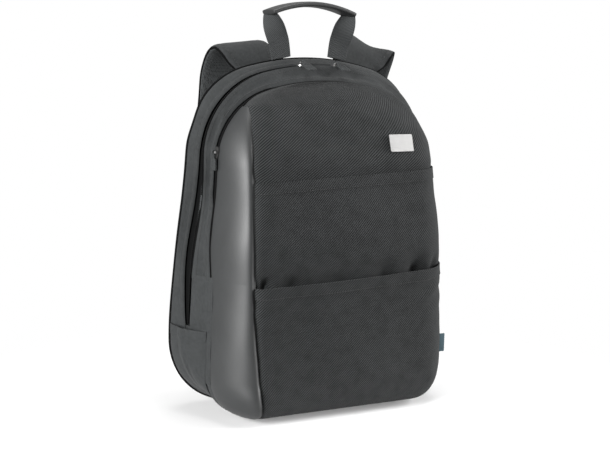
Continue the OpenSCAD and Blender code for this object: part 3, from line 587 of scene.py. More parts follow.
# %% Panel tools
LOW_FOLD = "pack", "front_half", (0, 0, 0.085), (0, 0, 0.160)
HIGH_FOLD = "front_half", "front_flap", (0, 0, 0.160), (0, 0, 0.245)


def only(obj):
    bpy.ops.object.select_all(action="DESELECT")
    obj.select_set(True)
    bpy.context.view_layer.objects.active = obj


def apply(obj, kind, **settings):
    only(obj)
    modifier = obj.modifiers.new(kind.lower(), kind)
    for key, value in settings.items():
        setattr(modifier, key, value)
    bpy.ops.object.modifier_apply(modifier=modifier.name)


def row_at(x, y, z):
    return np.stack(np.broadcast_arrays(x, y, z), -1)


def between(lines, steps):
    """Rows of points from line to line, a number of steps to each gap."""
    rows = []
    for first, last in zip(lines[:-1], lines[1:]):
        for s in np.linspace(0, 1, steps, endpoint=last is lines[-1]):
            rows.append(first * (1 - s) + last * s)
    return np.array(rows)


def normals(grid):
    return unit(np.cross(np.gradient(grid, axis=1), np.gradient(grid, axis=0)))


def ripple(grid, size, seed):
    flat = grid.reshape(-1, 3) / size + seed
    return np.array([noise.noise(Vector(p)) for p in flat]).reshape(grid.shape[:2])


def wrinkled(grid, amount, size, seed, fade=1.0):
    lift = amount * (ripple(grid, size, seed) * 0.7 + ripple(grid, size * 0.4, seed + 7) * 0.3) * fade
    return grid + normals(grid) * lift[..., None]


def panel(name, grid, finish, thick=1.4, angle=40):
    """Cuts a grid primitive and lays it on the given rows of points, in millimetres."""
    rows, columns = grid.shape[:2]
    bpy.ops.mesh.primitive_grid_add(x_subdivisions=columns - 1, y_subdivisions=rows - 1, size=1)
    obj = bpy.context.object
    obj.name = name
    mesh = obj.data
    flat = np.empty(len(mesh.vertices) * 3)
    mesh.vertices.foreach_get("co", flat)
    flat = flat.reshape(-1, 3)
    i = np.rint((flat[:, 0] + 0.5) * (columns - 1)).astype(int)
    j = np.rint((flat[:, 1] + 0.5) * (rows - 1)).astype(int)
    mesh.vertices.foreach_set("co", (grid[j, i] * MM).ravel())
    wide = np.cumsum(np.linalg.norm(np.diff(grid, axis=1, prepend=grid[:, :1]), axis=-1).mean(0)) * MM
    high = np.cumsum(np.linalg.norm(np.diff(grid, axis=0, prepend=grid[:1]), axis=-1).mean(1)) * MM
    layer = mesh.uv_layers.active.data
    uv = np.empty(len(layer) * 2)
    layer.foreach_get("uv", uv)
    cell = np.rint(uv.reshape(-1, 2) * (columns - 1, rows - 1)).astype(int)
    layer.foreach_set("uv", np.stack([wide[cell[:, 0]], high[cell[:, 1]]], -1).ravel())
    mesh.update()
    if thick:
        apply(obj, "SOLIDIFY", thickness=thick * MM, offset=-1.0)
    obj.data.materials.append(finish)
    only(obj)
    bpy.ops.object.shade_smooth_by_angle(angle=math.radians(angle))
    return obj


def join(first, *others):
    only(first)
    for other in others:
        other.select_set(True)
    bpy.ops.object.join()
    return first


def dress(obj, node, slot, *carried):
    """Hides the solid that a piece stands for and hangs the piece on the body that carries it; a piece across a fold
    is left unhung. The finish slot is not used.
    """
    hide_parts(node)
    if len(carried) == 1:
        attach(obj, *carried)
    else:
        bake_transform(obj)


# %% [markdown]
# ## Stitches
# A seam is told by its stitches: short raised threads with a small gap between them. One stitch is
# modelled as a stretched bead, and copies of it are laid along a seam line and joined into the
# panel, so that they bend with it.

# %% Stitching tool
def taken(obj):
    """The points and faces of a small shape, whose own object then goes."""
    shape = np.array([v.co for v in obj.data.vertices]), [tuple(p.vertices) for p in obj.data.polygons]
    bpy.data.objects.remove(obj)
    return shape


bpy.ops.mesh.primitive_ico_sphere_add(subdivisions=1, radius=1)
BEAD, BEAD_FACES = taken(bpy.context.object)
STITCH_STEP, STITCH_LENGTH, STITCH_GIRTH = 3.4, 1.25, 0.32
print("one stitch:", len(BEAD_FACES), "faces")


def along(line, step):
    """Points at even steps along a line, and the place in the line of each."""
    run = run_of(line)
    at = np.arange(step / 2, run[-1], step)
    return sample(line, run, at), np.interp(at, run, np.arange(len(line)))


def scatter(name, shape, faces, frames, finish):
    """Copies of one small shape, each in its own frame of centre, forward, side and up."""
    points, polygons = [], []
    for centre, forward, side, up in frames:
        start = len(points)
        points.extend(centre + shape[:, :1] * forward + shape[:, 1:2] * side + shape[:, 2:] * up)
        polygons.extend(tuple(i + start for i in corners) for corners in faces)
    mesh = bpy.data.meshes.new(name)
    mesh.from_pydata([tuple(p * MM) for p in points], [], polygons)
    mesh.uv_layers.new(name="UVMap")
    obj = bpy.data.objects.new(name, mesh)
    bpy.context.collection.objects.link(obj)
    mesh.materials.append(finish)
    only(obj)
    bpy.ops.object.shade_smooth()
    return obj


def stitches(line, outward):
    frames = []
    for centre, k in zip(*along(line, STITCH_STEP)):
        forward = unit(line[min(int(k) + 1, len(line) - 1)] - line[int(k)])
        up = outward[int(round(k))]
        up = unit(up - forward * np.dot(up, forward))
        frames.append((centre + up * 0.08, forward * STITCH_LENGTH, np.cross(up, forward) * STITCH_GIRTH,
                       up * STITCH_GIRTH * 0.8))
    return scatter("stitches", BEAD, BEAD_FACES, frames, stitch_thread)


def seam_row(grid, row):
    return stitches(grid[row], normals(grid)[row])


def seam_column(grid, column):
    return stitches(grid[:, column], normals(grid)[:, column])


# %% [markdown]
# ## Rear and front gusset
# The gussets are the bands between the zips. Filled from inside they bulge a little, and along a
# zip each ends in a folded lip that is stitched down. The profile across a band is given as a few
# points: how far along the band, and how far it stands off the straight line between its seams.
# Beside the main zip the lips draw back, so a dark gap shows. The lip over the front zip covers it,
# except along the slider's run, where it makes way.

# %% Gussets
RING, BAND_ROWS = 221, 22
GUSSET_FOOT, ZIP_FOOT = 40.3, 101
LIP_BACK, LIP_FORWARD, COVER = 9.0, -3.0, 4.3
RUN_FROM, RUN_TO, RUN_EASE = -28, 76, 8
REAR_PROFILE = [[0, 0], [0.06, 0.9], [0.3, 1.9], [0.6, 1.6], [0.74, 1.0], [0.77, 1.7], [0.9, 1.9],
                [0.97, 1.5], [1.0, 0.2]]
FRONT_PROFILE = [[0, 0.2], [0.05, 0.9], [0.22, 0.8], [0.26, 0.1], [0.5, -1.6], [0.74, -0.1], [0.78, 0.9],
                 [0.95, 1.0], [1.0, 0.2]]


def band(first, last, profile):
    """Rows from outline points first to last, standing off by the profile."""
    off = np.interp(np.linspace(0, 1, BAND_ROWS), *np.transpose(profile))
    ring = np.gradient(first, axis=0)
    outward = unit(row_at(ring[:, 2], 0.0, -ring[:, 0]))
    return between((first, last), BAND_ROWS) + outward[None] * off[:, None, None]


def pulled_back(line, amount, low, high):
    """Moves a zip lip back, or forward by less than 0, so that the zip shows between two heights."""
    line = line.copy()
    line[:, 1] += amount * np.sin(math.pi * np.clip((line[:, 2] - low) / (high - low), 0, 1) ** 0.75)
    return line


arch = np.sin(np.linspace(0, math.pi, BAND_ROWS))[:, None]
rear_lip = pulled_back(MAIN.shifted(ZIP_HALF).over(RING, GUSSET_FOOT), LIP_BACK, 98, 305)
rear_grid = wrinkled(band(BACK.over(RING, GUSSET_FOOT), rear_lip, REAR_PROFILE), 2.4, 46, 3.0, arch)
rear_gusset = join(panel("rear_gusset_cloth", rear_grid, plain_cloth), seam_row(rear_grid, 17))
dress(rear_gusset, "rear_gusset", "shell", "pack")

cover = FRONT.shifted(ZIP_HALF).over(RING, FOLD - 3)
sweep = np.degrees(np.arctan2(cover[:, 2] - FRONT.spring, -FRONT.arm_x - cover[:, 0]))
in_run = smooth((sweep - RUN_FROM) / RUN_EASE) * (1 - smooth((sweep - RUN_TO) / RUN_EASE))
cover[:, 1] -= COVER * (1 - in_run * (cover[:, 0] < -FRONT.arm_x))
front_lip = pulled_back(MAIN.shifted(-ZIP_HALF).over(RING, FOLD - 3), LIP_FORWARD, FOLD, 310)
front_grid = wrinkled(band(front_lip, cover, FRONT_PROFILE), 4.6, 30, 4.0, arch ** 2)
front_gusset = join(panel("front_gusset_cloth", front_grid, plain_cloth), seam_row(front_grid, 5),
                    seam_row(front_grid, 17))
dress(front_gusset, "front_gusset", "shell", "front_half")


def side_rows(outlines, high, count, side, swell):
    """Rows from the first outline to the last, each running up one side of the bag."""
    z = np.linspace(GUSSET_FOOT, high, count)
    grid = between([row_at(side * o.half(z), o.depth(z), z) for o in outlines], 6)[::side]
    bulge = swell * np.sin(np.linspace(0, math.pi, len(grid)))
    return grid + normals(grid) * bulge[:, None, None]


lower, ends = [], []
for side in (-1, 1):
    grid = side_rows([MAIN.shifted(-ZIP_HALF), FRONT.shifted(ZIP_HALF), FRONT.shifted(0.3 - ZIP_HALF)],
                     FOLD + 1, 50, side, 1.3)
    lower.append(panel("front_gusset_lower_cloth", wrinkled(grid, 1.0, 30, 5.0 + side), plain_cloth))
    grid = side_rows([MAIN.shifted(ZIP_HALF - 0.3), MAIN.shifted(0.3 - ZIP_HALF)], ZIP_FOOT - 1, 30, side, 0.5)
    ends.append(panel("zip_end_cloth", grid, plain_cloth))
dress(join(*lower), "front_gusset_lower", "shell", *LOW_FOLD)
dress(join(*ends), "zip_end_tabs", "shell", "pack")
print("gussets:", len(rear_gusset.data.vertices), len(front_gusset.data.vertices))

# %% [markdown]
# ## Back panel and base
# The back is one sheet that leans forward at the top, edged all round by a narrow binding. The base
# is a band that runs down one side, under the bag and up the other.

# %% Back and base
BASE_TOP, BINDING_R, BINDING_LOW = 40, 1.9, 2.0
heights = np.concatenate([np.linspace(0.6, 70, 14), np.linspace(80, 300, 30),
                          300 + 102.6 * np.sin(np.linspace(0.1, 1.57, 22))])
back_grid = np.array([row_at(BACK.half(z) * np.linspace(1, -1, 41), BACK.depth(z) + 4.0, z) for z in heights])
back = panel("back_cloth", wrinkled(back_grid, 0.5, 60, 2.0), mesh_cloth, 3.0)
dress(back, "back_panel", "shell", "pack")


def mend(obj, threshold, capped=True):
    """Merges the points where a sweep meets itself, shuts its ends and turns its faces outward."""
    only(obj)
    bpy.ops.object.mode_set(mode="EDIT")
    bpy.ops.mesh.select_all(action="SELECT")
    bpy.ops.mesh.remove_doubles(threshold=threshold)
    if capped:
        bpy.ops.mesh.select_all(action="DESELECT")
        bpy.ops.mesh.select_non_manifold()
        bpy.ops.mesh.edge_face_add()
        bpy.ops.mesh.select_all(action="SELECT")
    bpy.ops.mesh.normals_make_consistent(inside=False)
    bpy.ops.object.mode_set(mode="OBJECT")
    return obj


def tube(name, line, radius, finish, sides=10, closed=False):
    """A round cord along points: a ring of faces swept from point to point."""
    forward = unit(np.gradient(line, axis=0))
    hint = np.where(np.abs(forward[:, 1:2]) < 0.9, [[0, 1.0, 0]], [[1.0, 0, 0]])
    u = unit(np.cross(hint, forward))
    v = np.cross(forward, u)
    a = np.linspace(0, math.tau, sides + 1)[:, None, None]
    return mend(panel(name, line + radius * (np.cos(a) * u + np.sin(a) * v), finish, 0, 60), 0.00002, not closed)


edge = np.concatenate([BACK.over(261, BASE_TOP), BACK.under(121, BASE_TOP)[1:]])
edge[:, 1] += 1.4
edge[:, 2] = np.maximum(edge[:, 2], BINDING_LOW)
back_binding = tube("back_binding", edge, BINDING_R, tape_cloth, closed=True)
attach(back_binding, "pack")

STATIONS = [BACK, MAIN.shifted(ZIP_HALF), MAIN.shifted(-ZIP_HALF), FRONT.shifted(ZIP_HALF)]
base_grid = between([o.under(121, BASE_TOP) for o in [*STATIONS, FRONT.shifted(-5.2)]], 5)
base = join(panel("base_cloth", base_grid, plain_cloth, 2.2), seam_row(base_grid, 2),
            seam_row(base_grid, len(base_grid) - 3))
dress(base, "base_panel", "shell", "pack")
print("back and base:", len(back.data.polygons), len(base.data.polygons), "faces")

# %% [markdown]
# ## Zips
# A zip half is a tape with a row of teeth along its inner edge. One tooth is modelled, bevelled and
# copied along the chain line; the teeth of the two halves alternate, so they read as one chain. The
# main zip's tapes are wider where the lips draw back from them.

# %% Zip halves
TAPE_W, TAPE_IN, TOOTH_STEP, TOOTH_SHIFT = 5.2, 0.9, 2.5, 0.62
bpy.ops.mesh.primitive_cube_add(size=1)
apply(bpy.context.object, "BEVEL", width=0.22, segments=1)
TOOTH, TOOTH_FACES = taken(bpy.context.object)
TOOTH = TOOTH * (1.25, 1.9, 1.7)


def zip_half(name, outline, side, low, node, *carried):
    outer = outline.shifted(side * TAPE_W).over(RING, low, TAPE_IN)
    if outline is MAIN and side > 0:
        outer = pulled_back(outline.shifted(6.0).over(RING, low, 2.2), LIP_BACK + 1.5, 90, 315)
    elif outline is MAIN:
        outer = pulled_back(outer, LIP_FORWARD - 0.6, FOLD, 315)
    inner = outline.shifted(side * TAPE_IN).over(RING, low, TAPE_IN)
    tape = panel(name, between((outer, inner)[::side], 5), tape_cloth, 0.9)
    line = outline.shifted(side * 0.55).over(RING * 3, low, 0.75)
    frames = []
    for centre, k in zip(*along(line, TOOTH_STEP)):
        k = min(int(k), len(line) - 2)
        forward = unit(line[k + 1] - line[k])
        up = np.array([forward[2], 0, -forward[0]])
        frames.append((centre + forward * side * TOOTH_SHIFT, forward, np.cross(up, forward), up))
    tape = join(tape, scatter("teeth", TOOTH, TOOTH_FACES, frames, tooth_black_and_painted_shade))
    dress(tape, node, "zip_tape", *carried)


zip_half("main_zip_rear", MAIN, 1, ZIP_FOOT, "main_zip_rear_tape", "pack")
zip_half("main_zip_front", MAIN, -1, FOLD, "main_zip_front_tape", "front_half")
zip_half("front_zip_rear", FRONT, 1, FOLD, "front_zip_rear_tape", "front_half")
zip_half("front_zip_front", FRONT, -1, FOLD, "front_zip_front_tape", *HIGH_FOLD)
print("zips made")

# %% [markdown]
# ## Leather panel
# The leather wraps the front left corner from the base to the shoulder. It is smooth and taut, with
# shallow dents, and its straight edge is turned under and stitched to the twill. It is cut at the
# fold into two pieces that lap.

# %% Leather
QUARTER = math.pi / 2
RIM_LAP, EDGE_IN = 3.3, 0.3
ROLL_OUT, SEAM_SINK, SEAM_W = 3.2, 4.4, 4.6


def wrapped(x, z):
    """A point behind the rim, round which an edge is wrapped."""
    return [[x, rim(z) + RIM_LAP, z]]


def leather_grid(z_rows, tuck):
    columns = 1 - np.cos(np.linspace(0, QUARTER, 44))
    grid = []
    for z, t in zip(z_rows, tuck):
        left, seam = -FRONT.half(z, t), seam_x(z) + 1.2
        x = left + (seam - left) * columns
        full = np.clip((seam - left) / 30, 0, 1)
        roll = SEAM_SINK * np.exp(-((x - seam) / SEAM_W) ** 2) - ROLL_OUT * np.sin(math.pi * columns ** 1.4)
        grid.append(np.concatenate([wrapped(left + EDGE_IN, z), row_at(x, face(x, z, t) + full * roll, z)]))
    return np.array(grid)


z_up = np.concatenate([[FOLD - 4], FOLD + (LEATHER_TOP - FOLD) * np.sin(np.linspace(0, QUARTER, 44))])
z_low = np.concatenate([FOLD - (FOLD - LEATHER_LOW) * np.sin(np.linspace(QUARTER, 0, 40)), [FOLD + 4]])
for name, z_rows, lapped, sewn, node, fold in (
        ("leather_upper", z_up, z_up < FOLD, slice(2, -4), "leather_panel", HIGH_FOLD),
        ("leather_lower", z_low, z_low > FOLD, slice(3, -2), "leather_panel_lower", LOW_FOLD)):
    grid = wrinkled(leather_grid(z_rows, np.where(lapped, 0.12, 0.0)), 0.9, 70, 11.0)
    piece = join(panel(name, grid, leather), seam_column(grid[sewn], 42))
    dress(piece, node, "leather", *fold)
    print(name, len(piece.data.polygons), "faces")


# %% [markdown]
# ## Slip pockets and front panel
# Two slip pockets lie one above the other on the twill front. Each mouth is a turned and stitched
# hem. The lower pocket stands open a little, pulled at both ends, so folds run down from its
# corners, and the cloth behind its mouth is pressed in at a few places. The panel above both is the
# softest part and sags between zip and pocket.

# %% Twill front
HEM, SLANT, SLANT_FROM = 13.0, 0.045, -18
PILLOW, HEM_LIFT = 5.0, 0.7
HEM_ROWS = np.linspace(1.2, HEM, 9) - HEM
PUCKERS = ((-104, 8, 9.0), (-72, 12, 6.5), (88, 12, 9.0), (44, 13, 5.5), (118, 7, 6.0), (-18, 18, 3.0))


def twill_grid(z_rows, inset, columns=96):
    """Rows of twill from the leather seam to the right edge, both edges turned in."""
    spread = np.sin(np.linspace(0, QUARTER, columns))
    grid = []
    for z, t in zip(z_rows, inset):
        half, seam = float(FRONT.half(z, t)), float(seam_x(z))
        left = max(seam, -half)
        x = left + (half - left) * spread
        y = face(x, z, t)
        first = wrapped(left + EDGE_IN, z)
        if left > -half + 0.5:
            y = y + 2.8 * np.exp(-((x - left) / 1.5) ** 2)
            first = [[left - 0.8, y[0] + 2.0, z]]
        grid.append(np.concatenate([first, row_at(x, y, z), wrapped(half - EDGE_IN, z)]))
    return np.array(grid), np.concatenate([[0], spread, [1]])


def hemmed(grid, spread, mouth, swell, start):
    """Lets a pocket stand off towards its mouth, and raises the turned hem."""
    z = grid[..., 2]
    grid[..., 1] -= swell * smooth((z - start) / (mouth - start)) * np.sqrt(np.maximum(np.sin(math.pi * spread), 0))
    turned = smooth((z - mouth + HEM) / 1.5) * (z > mouth - HEM)
    return grid + normals(grid) * (HEM_LIFT * turned)[..., None]


def pillowed(grid, spread):
    """Lets the middle of a filled pocket stand forward, fading out below the panel above it."""
    z = grid[..., 2]
    grid[..., 1] -= PILLOW * np.sin(math.pi * spread) ** 2 * smooth(z / 60) * smooth((MOUTH - 4 - z) / 70)
    return grid


def slanted(grid, mouth, reach):
    """Lets a mouth rise to the right, as the filled front pulls it."""
    share = smooth((grid[..., 2] - mouth + reach) / reach)
    grid[..., 2] += SLANT * (grid[..., 0] - SLANT_FROM) * share
    return grid


def corner_folds(grid, x0, z0, amount):
    """Slanting folds that run down and inwards from a pocket's pulled corner."""
    dx, dz = (grid[..., 0] - x0) * -np.sign(x0), z0 - grid[..., 2]
    reach = np.exp(-((dx - 26) / 26) ** 2 - ((dz - 16) / 24) ** 2)
    return grid + normals(grid) * (amount * np.cos((dz - 0.55 * dx) / 4.2) * reach)[..., None]


def pressed(grid, x0, x_reach, z0, z_reach, depth):
    """Presses a grid in round one place."""
    press = np.exp(-((grid[..., 0] - x0) / x_reach) ** 2 - ((grid[..., 2] - z0) / z_reach) ** 2)
    return grid - normals(grid) * (depth * press)[..., None]


z_rows = np.concatenate([(FOLD - HEM) * (1 - np.sin(np.linspace(QUARTER, 0, 60))), FOLD + HEM_ROWS])
grid, spread = twill_grid(z_rows, np.zeros(len(z_rows)))
grid = slanted(hemmed(pillowed(grid, spread), spread, FOLD, 5.0, 70), FOLD, 110)
grid = corner_folds(corner_folds(grid, -119, FOLD - 6, 1.0), 138, FOLD - 6, 1.5)
grid = wrinkled(grid, 2.4, 60, 21.0, smooth(z_rows / 30)[:, None])
lower_pocket = join(panel("lower_pocket_cloth", grid, twill), seam_row(grid, 60))
dress(lower_pocket, "lower_pocket", "twill", *LOW_FOLD)

z_rows = np.concatenate([np.linspace(FOLD - 18, MOUTH - HEM, 52), MOUTH + HEM_ROWS])
grid, spread = twill_grid(z_rows, 0.5 + 2.0 * (1 - smooth((z_rows - FOLD + 8) / 18)))
grid = slanted(hemmed(pillowed(grid, spread), spread, MOUTH, 0.5, 200), MOUTH, 90)
for x0, x_reach, depth in PUCKERS:
    grid = pressed(grid, x0, x_reach, FOLD - 1 + SLANT * x0, 14, depth)
grid = wrinkled(grid, 2.0, 54, 31.0)
upper_pocket = join(panel("upper_pocket_cloth", grid, twill), seam_row(grid, 52))
dress(upper_pocket, "upper_pocket", "twill", *HIGH_FOLD)

rise = FRONT.crown - 0.5 - MOUTH - 4
z_rows = np.concatenate([np.linspace(MOUTH - 30, MOUTH + 4, 14),
                         MOUTH + 4 + rise * np.sin(np.linspace(0.04, QUARTER, 60))])
grid, spread = twill_grid(z_rows, 0.3 + 2.1 * (1 - smooth((z_rows - MOUTH + 4) / 20)))
grid = pressed(grid, 20, 70, 318, 26, 2.0)
grid = wrinkled(grid, 2.6, 50, 41.0, smooth((FRONT.crown - z_rows) / 20)[:, None])
front_panel = panel("front_panel_cloth", grid, twill)
dress(front_panel, "front_panel", "twill", "front_flap")

z_rows = 9 + (FOLD - 9) * (1 - np.sin(np.linspace(QUARTER, 0, 40)))
grid, spread = twill_grid(z_rows, np.full(40, 8.8), 58)
dress(panel("front_inner_cloth", grid, lining_cloth), "front_panel_lower", "twill", *LOW_FOLD)
print("front:", sum(len(p.data.polygons) for p in (lower_pocket, upper_pocket, front_panel)))


# %% [markdown]
# ## Side pockets
# Each side pocket is a cloth sewn along its two edges and its foot, standing open at the top, with a
# turned hem and a pleat that lets it take a bottle.

# %% Side pockets
POCKET_LOW, POCKET_H, POCKET_HEM = 14, 85, 0.865
POCKET_OPEN, POCKET_FOOT, POCKET_START = 8.7, 2.6, 0.15


def side_pocket(side):
    v = np.concatenate([np.linspace(0, 0.86, 30), np.linspace(0.875, 1, 8)])
    z = POCKET_LOW + POCKET_H * v
    u = np.linspace(0, 1, 45)
    rows = []
    for s in u:
        k = min(int(s * 3), 2)
        a, b, t = STATIONS[k], STATIONS[k + 1], s * 3 - k
        if k == 0:
            t = POCKET_START + (1 - POCKET_START) * t
        opened = math.sin(math.pi * s) ** 0.6 * np.sin(QUARTER * v) ** 0.8
        pleat = 0.8 * math.exp(-((s - 0.62) / 0.035) ** 2) - 1.4 * math.exp(-((s - 0.70) / 0.03) ** 2)
        stand = 0.4 - POCKET_FOOT * (1 - smooth(v * 3.2)) + POCKET_OPEN * opened + pleat * v
        stand = stand + HEM_LIFT * (v > POCKET_HEM)
        rows.append(row_at(side * (a.half(z, -stand) * (1 - t) + b.half(z, -stand) * t),
                           a.depth(z) * (1 - t) + b.depth(z) * t, z))
    grid = np.array(rows).transpose(1, 0, 2)[:, ::side]
    return wrinkled(grid, 1.8, 30, 51.0 + side, smooth(v * 5)[:, None] * np.sin(math.pi * u)[None])


for side, word in ((-1, "left"), (1, "right")):
    grid = side_pocket(side)
    pocket = join(panel("side_pocket_cloth_" + word, grid, plain_cloth), seam_row(grid, 29))
    dress(pocket, "side_pocket_" + word, "shell", "pack")
    print(pocket.name, len(pocket.data.polygons), "faces")


# %% [markdown]
# ## Inside: sleeve and dividing cloth
# Seen only when a zip is open: a padded laptop sleeve, and the cloth between the two compartments.

# %% Linings
def wall(name, outline, dy, low, high, t, thick=1.4, crown=0.0):
    s = np.linspace(-1, 1, 41)
    heights = low + (high - low) * np.sin(np.linspace(0, QUARTER, 40))
    grid = np.array([row_at(outline.half(z, t) * s, outline.depth(z) + dy - crown * (1 - s ** 2), z)
                     for z in heights])
    return panel(name, wrinkled(grid, 0.5, 50, 61.0), lining_cloth, thick)


sleeve = wall("laptop_sleeve_cloth", BACK, -24, 4.6, 262, 11.5, 3.6, 0.3)
dress(sleeve, "laptop_sleeve", "lining", "pack")
divider = wall("divider_cloth", FRONT, 6.2, FOLD, FRONT.crown - 3.6, 3.2)
dress(divider, "divider_panel", "lining", "front_half")
divider_low = wall("divider_low_cloth", FRONT, 6.2, 4, FOLD + 1, 3.4)
dress(divider_low, "divider_panel_lower", "lining", *LOW_FOLD)
print("linings:", sleeve.name, divider.name, divider_low.name)


# %% [markdown]
# ## Straps and webbing
# A strap is swept: its section is carried along a smooth curve through the route's points, turning
# so that its width stays level. The padded straps have a full round section with a bound edge; the
# webbing is a thin flat one.

# %% Sweep tools
def curve(points, count):
    """A smooth curve through points of any width, evenly sampled."""
    p = np.asarray(points, float)
    p = np.concatenate([[2 * p[0] - p[1]], p, [2 * p[-1] - p[-2]]])
    out = []
    for i in range(1, len(p) - 2):
        t = np.linspace(0, 1, 24, endpoint=i == len(p) - 3)[:, None]
        a, b, c, d = p[i - 1:i + 3]
        out.append(b + 0.5 * ((c - a) * t + (2 * a - 5 * b + 4 * c - d) * t ** 2
                              + (3 * b - a - 3 * c + d) * t ** 3))
    dense = np.concatenate(out)
    run = run_of(dense[:, :3])
    return sample(dense, run, np.linspace(0, run[-1], count))


def frames_along(line, lie):
    """The directions of width and thickness at each point, the width as close to lie as it can be."""
    forward = unit(np.gradient(line, axis=0))
    wide = unit(lie - forward * (lie * forward).sum(1, keepdims=True))
    return wide, np.cross(forward, wide)


def swept(name, route, lie, section, finish, angle=50, cap=3.0):
    """Carries a closed section along route rows [x, y, z, width, thickness]; both ends are rounded shut."""
    line = route[:, :3]
    wide, thick = frames_along(line, np.broadcast_to(np.asarray(lie, float), line.shape))
    run = run_of(line)
    near = np.clip(np.minimum(run, run[-1] - run) / cap, 0, 1)
    shut = np.maximum(np.sqrt(1 - (1 - near) ** 2), 0.002)
    half_w = route[:, 3] / 2 * (0.6 + 0.4 * shut) * np.where(shut < 0.01, 0.01, 1.0)
    half_t = route[:, 4] / 2 * shut
    ring = np.concatenate([section, section[:1]])[:, :, None, None]
    grid = line + ring[:, 0] * (wide * half_w[:, None]) + ring[:, 1] * (thick * half_t[:, None])
    return mend(panel(name, grid[::-1], finish, 0, angle), 0.00003)


def rounded(power, count):
    """A closed section between an ellipse and a rectangle; the higher the power, the squarer."""
    a = np.linspace(0, math.tau, count, endpoint=False)
    section = np.stack([np.cos(a), np.sin(a)], -1)
    return np.sign(section) * np.abs(section) ** (2 / power)


def dense_ends(route, cap=3.0):
    """Adds rows close to both ends, where the section rounds shut."""
    run = run_of(route[:, :3])
    extra = np.array([0, 0.06, 0.2, 0.45, 0.75, 1.0]) * cap
    inner = run[(run > cap) & (run < run[-1] - cap)]
    return sample(route, run, np.unique(np.concatenate([extra, inner, run[-1] - extra])))


# %% [markdown]
# ## Shoulder straps
# Each strap leaves the yoke on the back, rises over the top edge and hangs in a loop behind the bag.
# Foam fills it between two bound edges, and two rows of stitching hold the foam. The route gives
# how far the strap has spread, its way back and up from the yoke, and its shares of width and
# thickness. The right strap has fallen outwards, as in the photograph.

# %% Shoulder straps
STRAP_TOP, STRAP_LOW = np.array([60, 63.2, 372.0]), np.array([138, 74.2, 50.0])
ROUTE = [[0.12, 7, 27, 0.84, 0.92], [0.46, 16, 40, 0.96, 1.00], [0.77, 29, 43, 1.00, 1.00],
         [0.93, 41, 33, 1.00, 1.00], [0.99, 51, 13, 1.00, 1.00], [1.00, 55, -14, 1.00, 1.00],
         [1.03, 58, -50, 1.00, 1.00], [1.08, 58, -90, 1.00, 1.00], [1.17, 54, -133, 0.98, 1.00],
         [1.28, 46, -172, 0.92, 0.95], [1.40, 39, -206, 0.82, 0.90], [1.50, 34, -226, 0.68, 0.80]]
STRAP_W, STRAP_T, PAD_END = 66.0, 12.0, 12.0
SPLAY, FALL = {-1: 14.0, 1: 52.0}, {-1: 0.0, 1: 8.0}
TIP = {-1: math.radians(6), 1: math.radians(22)}
STRAP_POWER, STITCH_AT, THINNED = 3.2, 0.78, 0.14
WORDS = {-1: "left", 1: "right"}


def strap_route(side):
    """The strap's route, where its pad ends, and the direction up the webbing below it."""
    x, y, z = STRAP_TOP * (side, 1, 1)
    rows = [[x, y, z + s, STRAP_W * 0.62, STRAP_T * 0.75] for s in (0.5, 10)]
    for spread, back_off, rise, wide, thick in ROUTE:
        out = x + side * (SPLAY[side] * min(spread, 1) + 44 * max(spread - 1, 0))
        out += FALL[side] * math.exp(-((rise - 30) / 38) ** 2)
        rows.append([out, y + back_off, z + rise, STRAP_W * wide, STRAP_T * thick])
    pull = unit(np.array(rows[-1][:3]) - STRAP_LOW * (side, 1, 1))
    end = np.array(rows[-1][:3]) - pull * PAD_END
    rows.append([*end, STRAP_W * 0.68 * 0.8, STRAP_T * 0.7])
    return np.array(rows), end, pull


def shoulder_strap(side):
    route = dense_ends(curve(strap_route(side)[0], 120))
    middle, half_w, half_t = route[:, :3], route[:, 3:4] / 2, route[:, 4:5] / 2
    section = rounded(STRAP_POWER, 48)
    section[:, 1] *= 1 - THINNED + THINNED * np.cos(section[:, 0] * QUARTER)
    tipped = TIP[side] * smooth(np.arange(len(route)) / 12.0)
    lie = row_at(np.cos(tipped), 0.0, -side * np.sin(tipped))
    strap = swept("shoulder_strap_cloth_" + WORDS[side], route, lie, section, plain_cloth)
    strap.data.materials.append(mesh_cloth)
    wide, thick = frames_along(middle, lie)
    for polygon in strap.data.polygons:
        near = int(np.argmin(((middle * MM - np.array(polygon.center)) ** 2).sum(1)))
        polygon.material_index = int(np.dot(np.array(polygon.normal), thick[near]) > 0.35)
    stitch_t = (1 - STITCH_AT ** STRAP_POWER) ** (1 / STRAP_POWER)
    stitch_t *= 1 - THINNED + THINNED * math.cos(STITCH_AT * QUARTER)
    parts = []
    for edge_side in (-1, 1):
        edge_line = middle + wide * edge_side * (half_w - 0.6)
        parts.append(tube("edge_binding", edge_line[5:-5], 1.7, tape_cloth, 8))
        for face_side in (-1, 1):
            line = middle + wide * edge_side * STITCH_AT * half_w + thick * face_side * stitch_t * half_t
            parts.append(stitches(line[5:-5], thick[5:-5] * face_side))
    strap = join(strap, *parts)
    dress(strap, "shoulder_strap_" + WORDS[side], "mesh", "strap_" + WORDS[side])
    print(strap.name, len(strap.data.polygons), "faces")


for side in (-1, 1):
    shoulder_strap(side)

# %% [markdown]
# ## Adjusting webbing
# Below the pad the webbing passes a ladder lock: up behind its lowest bar, over the middle bar and
# down again as a loose tail. A short loop ties the lock's highest bar to the pad.

# %% Webbing at the locks
WEB_W, WEB_T, BAR, LOCK_L = 25.0, 1.8, 1.7, 34.0
MIDDLE_BAR, TOP_BAR = LOCK_L / 2 - 2, LOCK_L - 2 * BAR - 1
CLEAR, DROP, TAIL = BAR + WEB_T / 2 + 0.3, TOP_BAR + BAR + 4, 46


